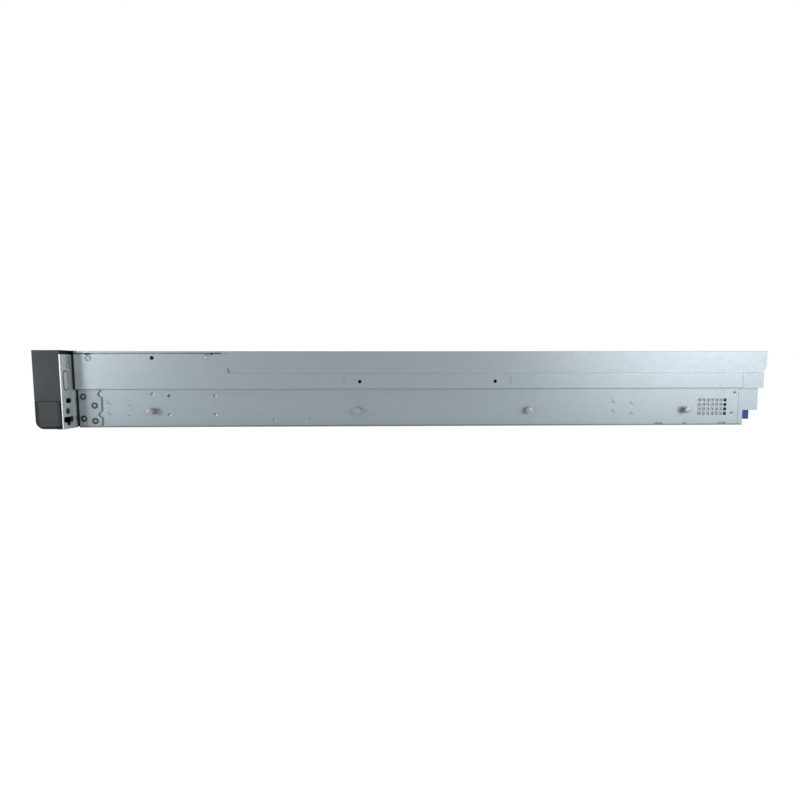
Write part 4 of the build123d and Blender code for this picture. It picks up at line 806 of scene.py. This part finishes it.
print("right ear signs", 4)

# %% Tongues and contacts of the left ear's sockets
tongue_half, contact_half, contact_pitch = 5.4, 0.5, 2.4
first_contact = -1.5 * contact_pitch
for number, socket_z in enumerate((69.0, 52.0), 1):
    tongue = block(f"left_ear_tongue_{number}",
                   (-ear_middle - 0.9, ear_face + 2.0, socket_z - tongue_half),
                   (-ear_middle + 0.9, ear_face + 9.5, socket_z + tongue_half), 0.2)
    seat(tongue, "black_plastic")
    contact_z = socket_z + first_contact
    row_of(4, (0, 0, contact_pitch), f"left_ear_contact_{number}",
           (-ear_middle + 0.85, ear_face + 2.4, contact_z - contact_half),
           (-ear_middle + 1.05, ear_face + 8.5, contact_z + contact_half),
           0.05, "gold_contact", "board")
print("left ear sockets", 2)

# %% [markdown]
# Every drive carrier has two lamp lenses in the lower bar of its bezel, and its lever has a
# ribbed thumb button in the recess at the free end. They are modelled on the first bay and
# copied to the other eleven, each riding on its own carrier or lever.

# %% Lenses and thumb buttons of the drive carriers
row_pitch, floor_z = 28.0, 2.1
first_bay_x = -1.5 * bay_pitch
bezel_face, lever_face = -24.0, -23.0
lens_z = floor_z + 2.2
thumb_x, thumb_z = first_bay_x - 40.2, floor_z + 13.35
carrier_set, lever_set = [], []
for number, lens_x in enumerate((40.0, 45.5), 1):
    lens = turned(f"carrier_1_lens_{number}", (first_bay_x + lens_x, bezel_face + 0.1, lens_z),
                  "-Y", 1.2, 0.35, steps=((0.3, 0.1),), sides=18, edge=0.08)
    carrier_set.append(seat(lens, "lamp_lens", "black_plastic", "drive_carrier_1"))
thumb = block("carrier_lever_1_thumb", (thumb_x - 4.2, lever_face + 0.35, thumb_z - 3.9),
              (thumb_x + 4.2, lever_face + 1.3, thumb_z + 3.9), 0.3)
lever_set.append(seat(thumb, "black_plastic", "lever_plastic", "carrier_lever_1"))
rib_pitch = 1.9
rib_x = thumb_x - 1.5 * rib_pitch
lever_set += row_of(4, (rib_pitch, 0, 0), "carrier_lever_1_rib",
                    (rib_x - 0.35, lever_face + 0.1, thumb_z - 3.2),
                    (rib_x + 0.35, lever_face + 0.45, thumb_z + 3.2),
                    0.12, "black_plastic", "lever_plastic", "carrier_lever_1")
print("pieces for one bay", len(carrier_set) + len(lever_set))

# %% Copies for the other bays
for number in range(2, 13):
    row, column = divmod(number - 1, 4)
    shift = (column * bay_pitch, 0, row * row_pitch)
    for pieces, body in ((carrier_set, "drive_carrier"), (lever_set, "carrier_lever")):
        for first in pieces:
            name = first.name.replace("_1_", f"_{number}_", 1)
            copied(first, name, shift, f"{body}_{number}")
print("bays dressed", 12)

# %% [markdown]
# The hood latch is a black flap with grip ribs in front of its finger hole and a quarter-turn lock
# beside it. Four rivets hold the latch frame, and small countersunk screws hold the front cover
# along its sides. They all lie nearly flush, so that servers can be stacked above each other.

# %% Pieces on top
top_z, latch_top = 86.8, 86.5
lock_y, slit_half = 332.0, (3.2, 0.6)
lock = turned("hood_latch_lock", (0, lock_y, latch_top - 0.2), "+Z", 5.0, 0.35,
              steps=((1.0, 0.0), (0.2, -0.25)), edge=0.1)
seat(lock, "lever_plastic", body="hood_latch")
# The lock's slit is a thin black block: painted shade in place of a cut slit.
slit = block("hood_latch_lock_slit", (-slit_half[0], lock_y - slit_half[1], latch_top - 0.3),
             (slit_half[0], lock_y + slit_half[1], latch_top + 0.12), 0.1)
seat(slit, "black_plastic", body="hood_latch")
grip_y, grip_half = 290.0, 13.0
row_of(5, (0, 4.0, 0), "hood_latch_rib", (-grip_half, grip_y, latch_top - 0.2),
       (grip_half, grip_y + 1.4, latch_top + 0.25), 0.2, "lever_plastic", "lever_plastic",
       "hood_latch")
rivet_x, rivet_y, rivets_apart = -37.0, 268.0, (74.0, 80.0)
rivet = turned("hood_rivet_1", (rivet_x, rivet_y, top_z - 0.1), "+Z", 2.4, 0.4,
               steps=((0.9, 0.0), (0.2, -0.2)), edge=0.2)
seat(rivet, "hood_steel", "hood_sheet", "top_hood")
copies(((rivets_apart[0], 0, 0), (0, rivets_apart[1], 0), (*rivets_apart, 0)), rivet)
screw_x, screw_y, screw_pitch = -205.0, 24.0, 56.0
screw = turned("cover_screw_1", (screw_x, screw_y, top_z - 0.1), "+Z", 2.9, 0.3,
               steps=((1.2, 0.0), (0.1, -0.35)), edge=0.15)
seat(screw, "screw_steel", "screw_black")
screw_shifts = [(x, row * screw_pitch, 0) for x in (0, -2 * screw_x) for row in range(3)]
copies(screw_shifts[1:], screw)
print("cover screws", len(screw_shifts))

# %% [markdown]
# The rear has the sockets of the mainboard. A network socket shows eight gold springs under its
# roof and two lamp windows at its corners, a universal socket has a tongue, and the video socket
# is a slanted steel shell with a pin face between two hexagon nuts.

# %% Network sockets
wall_rear, port_long = 771.4, 14.6
port_floor = wall_rear - port_long
port_low, network_high = 12.0, 25.4
spring_pitch, spring_half, spring_long = 1.1, 0.3, 9.0
window_out, window_half = 5.4, 1.4
network_places = (("network_1", -57.0), ("network_2", -38.0), ("management", 7.6))
for name, x in network_places:
    spring_x = x - 3.5 * spring_pitch
    row_of(8, (spring_pitch, 0, 0), f"{name}_spring",
           (spring_x - spring_half, port_floor, network_high - 2.6),
           (spring_x + spring_half, port_floor + spring_long, network_high - 1.9),
           0.1, "gold_contact", "board")
    for label, lens_x in (("left", x - window_out), ("right", x + window_out)):
        window = block(f"{name}_{label}_window",
                       (lens_x - window_half, wall_rear - 2.5, port_low + 0.8),
                       (lens_x + window_half, wall_rear - 0.3, port_low + 2.2), 0.15)
        seat(window, "lamp_lens", "black_plastic")
print("network sockets", len(network_places))

# %% Universal sockets
usb_x, usb_pitch, usb_half = -15.2, 9.0, 3.5
for number in (1, 2):
    middle = port_low + (number - 1) * usb_pitch + usb_half
    tongue = block(f"usb_tongue_{number}", (usb_x - tongue_half, port_floor, middle + 0.2),
                   (usb_x + tongue_half, wall_rear - 1.2, middle + 2.0), 0.25)
    seat(tongue, "blue_plastic", "black_plastic")
    contact_x = usb_x + first_contact
    row_of(4, (contact_pitch, 0, 0), f"usb_contact_{number}",
           (contact_x - contact_half, port_floor, middle + 0.05),
           (contact_x + contact_half, wall_rear - 2.0, middle + 0.25),
           0.05, "gold_contact", "board")
print("universal sockets", number)


# %% Video socket: a tapered shell grown from a block, its face let in, black discs of painted shade for its pin holes, and two nuts
def tapered_shell(name, x, z, wide, tall, front, rear):
    """A slanted socket shell: a block whose lower edge is drawn in, with a face set back."""
    bpy.ops.object.select_all(action="DESELECT")
    size = (wide * MM, (rear - front) * MM, tall * MM)
    depth_middle, bottom = (front + rear) / 2, z - tall / 2
    bpy.ops.mesh.primitive_cube_add(size=1.0, location=point(x, depth_middle, z), scale=size)
    piece = open_mesh(name)
    choose(piece, "FACE", lambda middle, normal: middle.z < bottom * MM + touch)
    bpy.ops.transform.resize(value=(0.86, 1, 1), center_override=point(x, depth_middle, bottom))
    choose(piece, "EDGE", lambda middle, run: abs(run.y) > facing)
    bpy.ops.mesh.bevel(offset=1.2 * MM, segments=4, affect="EDGES")
    choose(piece, "FACE", lambda middle, normal: normal.y > facing)
    bpy.ops.mesh.inset(thickness=0.5 * MM)
    push((0, -1.6, 0))
    return close_mesh(piece)


video_x, video_z, plate_half = 36.1, 18.2, (15.2, 5.9)
shell_wide, shell_tall, shell_root = 17.0, 8.4, wall_rear - 5.2
plate = block("video_plate", (video_x - plate_half[0], port_floor, video_z - plate_half[1]),
              (video_x + plate_half[0], shell_root + 0.2, video_z + plate_half[1]), 0.2)
seat(plate, "bright_steel", "riser_steel")
shell = tapered_shell("video_shell", video_x, video_z, shell_wide, shell_tall, shell_root,
                      wall_rear - 0.2)
seat(shell, "bright_steel", "riser_steel")
pin_pitch, pin_row, row_stagger = 2.3, 1.9, 0.5
# Each pin hole is a flat black disc on the face: painted shade in place of a cut hole.
for row in (-1, 0, 1):
    for number in range(5):
        pin_x = video_x + (number - 2) * pin_pitch + row_stagger * row
        hole = turned(f"video_hole_{row + 2}_{number + 1}",
                      (pin_x, wall_rear - 1.9, video_z + pin_row * row), "+Y", 0.45, 0.25,
                      sides=10, edge=0.05)
        seat(hole, "black_plastic")
nut_out = 12.4
nut = turned("video_nut_1", (video_x - nut_out, shell_root, video_z), "+Y", 2.5, 4.4,
             steps=((1.1, 0.0), (0.1, -2.5)), sides=6, edge=0.25)
seat(nut, "bright_steel", "riser_steel")
copies([(2 * nut_out, 0, 0)], nut)
print("video socket at", video_x, video_z)


# %% [markdown]
# Each power supply has a black liner round the mouth of its inlet, a status lamp, and a small
# plain cap in the middle of its fan guard. The liner is a rectangle, rounded at its corners and
# made a frame in the same way as the rim of the long slot.

# %% Inlet liners, lamps and guard caps of the power supplies
def square_frame(name, place, wide, tall, band, thick):
    """A flat rectangular frame round an opening, on a plane that faces the rear."""
    bpy.ops.object.select_all(action="DESELECT")
    x, y, z = place
    bpy.ops.mesh.primitive_plane_add(size=1.0, location=point(x, y, z), rotation=flat_turn)
    bpy.context.object.scale = ((wide + 2 * band) * MM, (tall + 2 * band) * MM, 1)
    piece = open_mesh(name)
    choose_all()
    bpy.ops.mesh.bevel(offset=1.5 * MM, segments=4, affect="VERTICES")
    return hollow_out(piece, band, thick)


psu_face, psu_middle_z, lamp_height = 771.0, 21.5, 35.6
inlet_shift, lamp_shift, guard_shift = -20.87, -30.0, 9.33
inlet_wide, inlet_tall = 23.76, 16.5
psu_places = (177.45, 101.55)
for number, psu_x in enumerate(psu_places, 1):
    body = f"power_supply_{number}"
    liner = square_frame(f"psu_{number}_inlet_liner",
                         (psu_x + inlet_shift, psu_face - 0.1, psu_middle_z), inlet_wide,
                         inlet_tall, 1.6, 0.7)
    seat(liner, "black_plastic", body=body)
    lamp = turned(f"psu_{number}_lamp", (psu_x + lamp_shift, psu_face - 0.1, lamp_height), "+Y",
                  1.5, 0.5, steps=((0.4, 0.1),), sides=18, edge=0.1)
    seat(lamp, "lamp_lens", "psu_case", body)
    cap = turned(f"psu_{number}_guard_cap", (psu_x + guard_shift, psu_face - 0.2, psu_middle_z),
                 "+Y", 4.2, 0.7, steps=((0.8, 0.15),), edge=0.2)
    seat(cap, "bright_steel", "psu_case", body)
print("power supplies dressed", number)

# %% [markdown]
# Each slot cover is held by a hexagon-headed screw at its left end. The head is a six-sided
# turned piece with a washer face under it.

# %% Slot cover screws
slot_face, riser_pitch, slot_pitch = 792.6, 145.0, 19.0
cover_x, cover_z = -riser_pitch - 54.5, 54.7
washer = turned("slot_washer_1", (cover_x, slot_face - 0.1, cover_z), "+Y", 3.0, 0.5, edge=0.12)
head = turned("slot_screw_1", (cover_x, slot_face + 0.3, cover_z), "+Y", 2.3, 1.5,
              steps=((0.7, 0.0), (0.15, -0.6)), sides=6, edge=0.2)
slot_shifts = [(riser * riser_pitch, 0, row * slot_pitch) for riser in range(3) for row in (0, 1)]
seat(washer, "bright_steel", "screw_black")
seat(head, "bright_steel", "screw_black")
copies(slot_shifts[1:], washer, head)
print("slot cover screws", len(slot_shifts))

# %% [markdown]
# Under the hood the mainboard shows between the air duct and the risers. It carries a row of
# round capacitors behind each processor, a coin cell in its holder, and cable sockets. The fans
# have ribbed finger tabs, and the duct is stiffened by long ribs.

# %% Capacitors and coin cell on the mainboard
can = turned("board_can_1", (-140.0, 438.0, board_top - 0.1), "+Z", 3.2, 7.0,
             steps=((0.5, 0.0), (0.15, -0.3)), edge=0.5)
seat(can, "bright_steel", "board")
can_pitch, bank_pitch = 12.0, 196.0
can_shifts = [(bank * bank_pitch + step * can_pitch, 0, 0) for bank in (0, 1) for step in range(8)]
copies(can_shifts[1:], can)
cell_x, cell_y = -60.0, 520.0
cell_holder = turned("coin_cell_holder", (cell_x, cell_y, board_top - 0.1), "+Z", 12.5, 3.0,
                     edge=0.6)
seat(cell_holder, "chip_black", "board")
cell = turned("coin_cell", (cell_x, cell_y, board_top + 2.8), "+Z", 10.0, 2.6,
              steps=((1.6, 0.2),), sides=36, edge=0.4)
seat(cell, "bright_steel", "board")
print("capacitors", len(can_shifts))


# %% Cable sockets on the mainboard
def cable_socket(name, x, y, long, deep, tall, finish_name):
    """An open-topped header: a block with its top face inset and pushed down."""
    piece = block(name, (x - long / 2, y - deep / 2, board_top - 0.1),
                  (x + long / 2, y + deep / 2, board_top + tall), 0.25)
    bpy.ops.object.mode_set(mode="EDIT")
    top = (board_top + tall) * MM
    choose(piece, "FACE", lambda middle, normal: middle.z > top - touch and normal.z > facing)
    bpy.ops.mesh.inset(thickness=0.9 * MM)
    push((0, 0, -0.6 * tall))
    seat(close_mesh(piece), finish_name, "board")


cable_socket("power_header", 150.0, 470.0, 44.0, 12.0, 11.0, "socket_ivory")
cable_socket("drive_header_1", -190.0, 480.0, 12.0, 34.0, 8.0, "chip_black")
cable_socket("drive_header_2", -170.0, 480.0, 12.0, 34.0, 8.0, "chip_black")
cable_socket("front_panel_header", 30.0, 470.0, 26.0, 7.0, 7.0, "socket_ivory")
fan_places = [(fan - 1.5) * bay_pitch for fan in range(4)]
for number, fan_x in enumerate(fan_places, 1):
    cable_socket(f"fan_header_{number}", fan_x, 452.0, 14.0, 6.0, 6.0, "chip_black")
print("fan headers", len(fan_places))

# %% Ribs on the fan tabs and on the air duct
tab_front, tab_top, tab_half = 192.0, 84.0, 10.0
for number, fan_x in enumerate(fan_places, 1):
    row_of(4, (0, 3.4, 0), f"fan_{number}_rib", (fan_x - tab_half, tab_front, tab_top),
           (fan_x + tab_half, tab_front + 1.2, tab_top + 0.6), 0.2, "blue_plastic")
duct_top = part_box("air_duct")[1].z / MM
duct_front, duct_rear, duct_pitch, rib_half = 240.0, 416.0, 62.0, 0.8
rib_x = -2.5 * duct_pitch
row_of(6, (duct_pitch, 0, 0), "duct_rib", (rib_x - rib_half, duct_front, duct_top - 0.3),
       (rib_x + rib_half, duct_rear, duct_top + 2.0), 0.4, "duct_plastic")
print("duct top", round(duct_top, 2))

# %% [markdown]
# The studio is plain: a white floor, a white surround, and broad soft lamps. The photograph shows
# the server's right side from just outside it, a little above, slightly turned to the rear. Its
# side gets brighter towards the rear, which a broad lamp on that side gives.

# %% Floor
bpy.ops.object.select_all(action="DESELECT")
floor_white, floor_glow, glow_share = 0.93, 1.04, 0.93
floor_drop = 0.6 * MM
bpy.ops.mesh.primitive_plane_add(size=14.0, location=(0, 0, cad_low.z - floor_drop))
floor = bpy.context.object
floor.name = "studio_floor"
floor_material, tree, floor_shader = principled("studio_floor")
floor_shader.inputs["Base Color"].default_value = (*[floor_white] * 3, 1)
floor_shader.inputs["Roughness"].default_value = 0.9
floor_shader.inputs["Specular IOR Level"].default_value = 0.0
glow = add(tree, "ShaderNodeEmission", Color=(1, 1, 1, 1), Strength=floor_glow)
path = tree.nodes.new("ShaderNodeLightPath")
blend_shader = tree.nodes.new("ShaderNodeMixShader")
tree.links.new(times(tree, path.outputs["Is Camera Ray"], glow_share),
               blend_shader.inputs["Fac"])
tree.links.new(floor_shader.outputs["BSDF"], blend_shader.inputs[1])
tree.links.new(glow.outputs["Emission"], blend_shader.inputs[2])
tree.links.new(blend_shader.outputs["Shader"], tree.nodes["Material Output"].inputs["Surface"])
floor.data.materials.append(floor_material)

# %% Surround: white to the camera and through glass, softer as light
world = bpy.data.worlds.new("studio")
bpy.context.scene.world = world
world.use_nodes = True
tree = world.node_tree
background = tree.nodes["Background"]
background.inputs["Color"].default_value = (1, 1, 1, 1)
path = tree.nodes.new("ShaderNodeLightPath")
seen = math_node(tree, "MAXIMUM", path.outputs["Is Camera Ray"],
                 path.outputs["Is Transmission Ray"])
light_level = 0.55
level = math_node(tree, "ADD", times(tree, seen, 1 - light_level), light_level)
tree.links.new(level, background.inputs["Strength"])


# %% Lamps
def soft_lamp(name, place, target, size, power):
    """A square area lamp that looks at a point."""
    data = bpy.data.lights.new(name, "AREA")
    data.shape = "SQUARE"
    data.size = size
    data.energy = power
    lamp = bpy.data.objects.new(name, data)
    bpy.context.scene.collection.objects.link(lamp)
    lamp.location = place
    lamp.rotation_mode = "QUATERNION"
    lamp.rotation_quaternion = (Vector(target) - Vector(place)).to_track_quat("-Z", "Y")
    lamp.visible_camera = False


soft_lamp("rear_side_lamp", (1.5, 1.1, 0.25), (0.22, 0.34, 0.04), 0.9, 13)
soft_lamp("front_side_lamp", (1.4, -1.4, 0.15), (0.22, -0.38, 0.04), 0.5, 7)
soft_lamp("top_lamp", (0.3, 0.0, 2.4), (0, 0, 0), 1.6, 14)
soft_lamp("front_lamp", (0.2, -2.2, 1.1), (0.0, -0.3, 0.04), 1.2, 9)

# %% [markdown]
# The camera was found by fitting known lengths of the server to the photograph: a wide lens about
# 0.6 m from the side, level with the upper band, tipped down by five degrees.

# %% Camera
camera_data = bpy.data.cameras.new("photo_camera")
camera = bpy.data.objects.new("photo_camera", camera_data)
bpy.context.scene.collection.objects.link(camera)
camera_data.sensor_width = 36.0
camera_data.lens = 23.84
camera_data.shift_x = -0.0336
camera_data.shift_y = 0.018
camera_data.clip_start = 0.01
camera_yaw, camera_pitch, camera_roll = (math.radians(a) for a in (1.67, 4.98, -0.06))
camera_reach, camera_along, camera_height = 610.3 * MM, 379.6 * MM, 67.2 * MM
camera.location = (band_x + camera_reach, front_edge + camera_along, camera_height)
forward = Vector((-math.cos(camera_yaw) * math.cos(camera_pitch),
                  math.sin(camera_yaw) * math.cos(camera_pitch), -math.sin(camera_pitch)))
level_right = forward.cross(Vector((0, 0, 1))).normalized()
level_up = level_right.cross(forward)
right = level_right * math.cos(camera_roll) + level_up * math.sin(camera_roll)
up = level_up * math.cos(camera_roll) - level_right * math.sin(camera_roll)
camera.rotation_mode = "QUATERNION"
camera.rotation_quaternion = Matrix((right, up, -forward)).transposed().to_quaternion()
bpy.context.scene.camera = camera
bpy.context.scene.view_settings.view_transform = "Standard"
print("camera at", [round(v, 4) for v in camera.location])
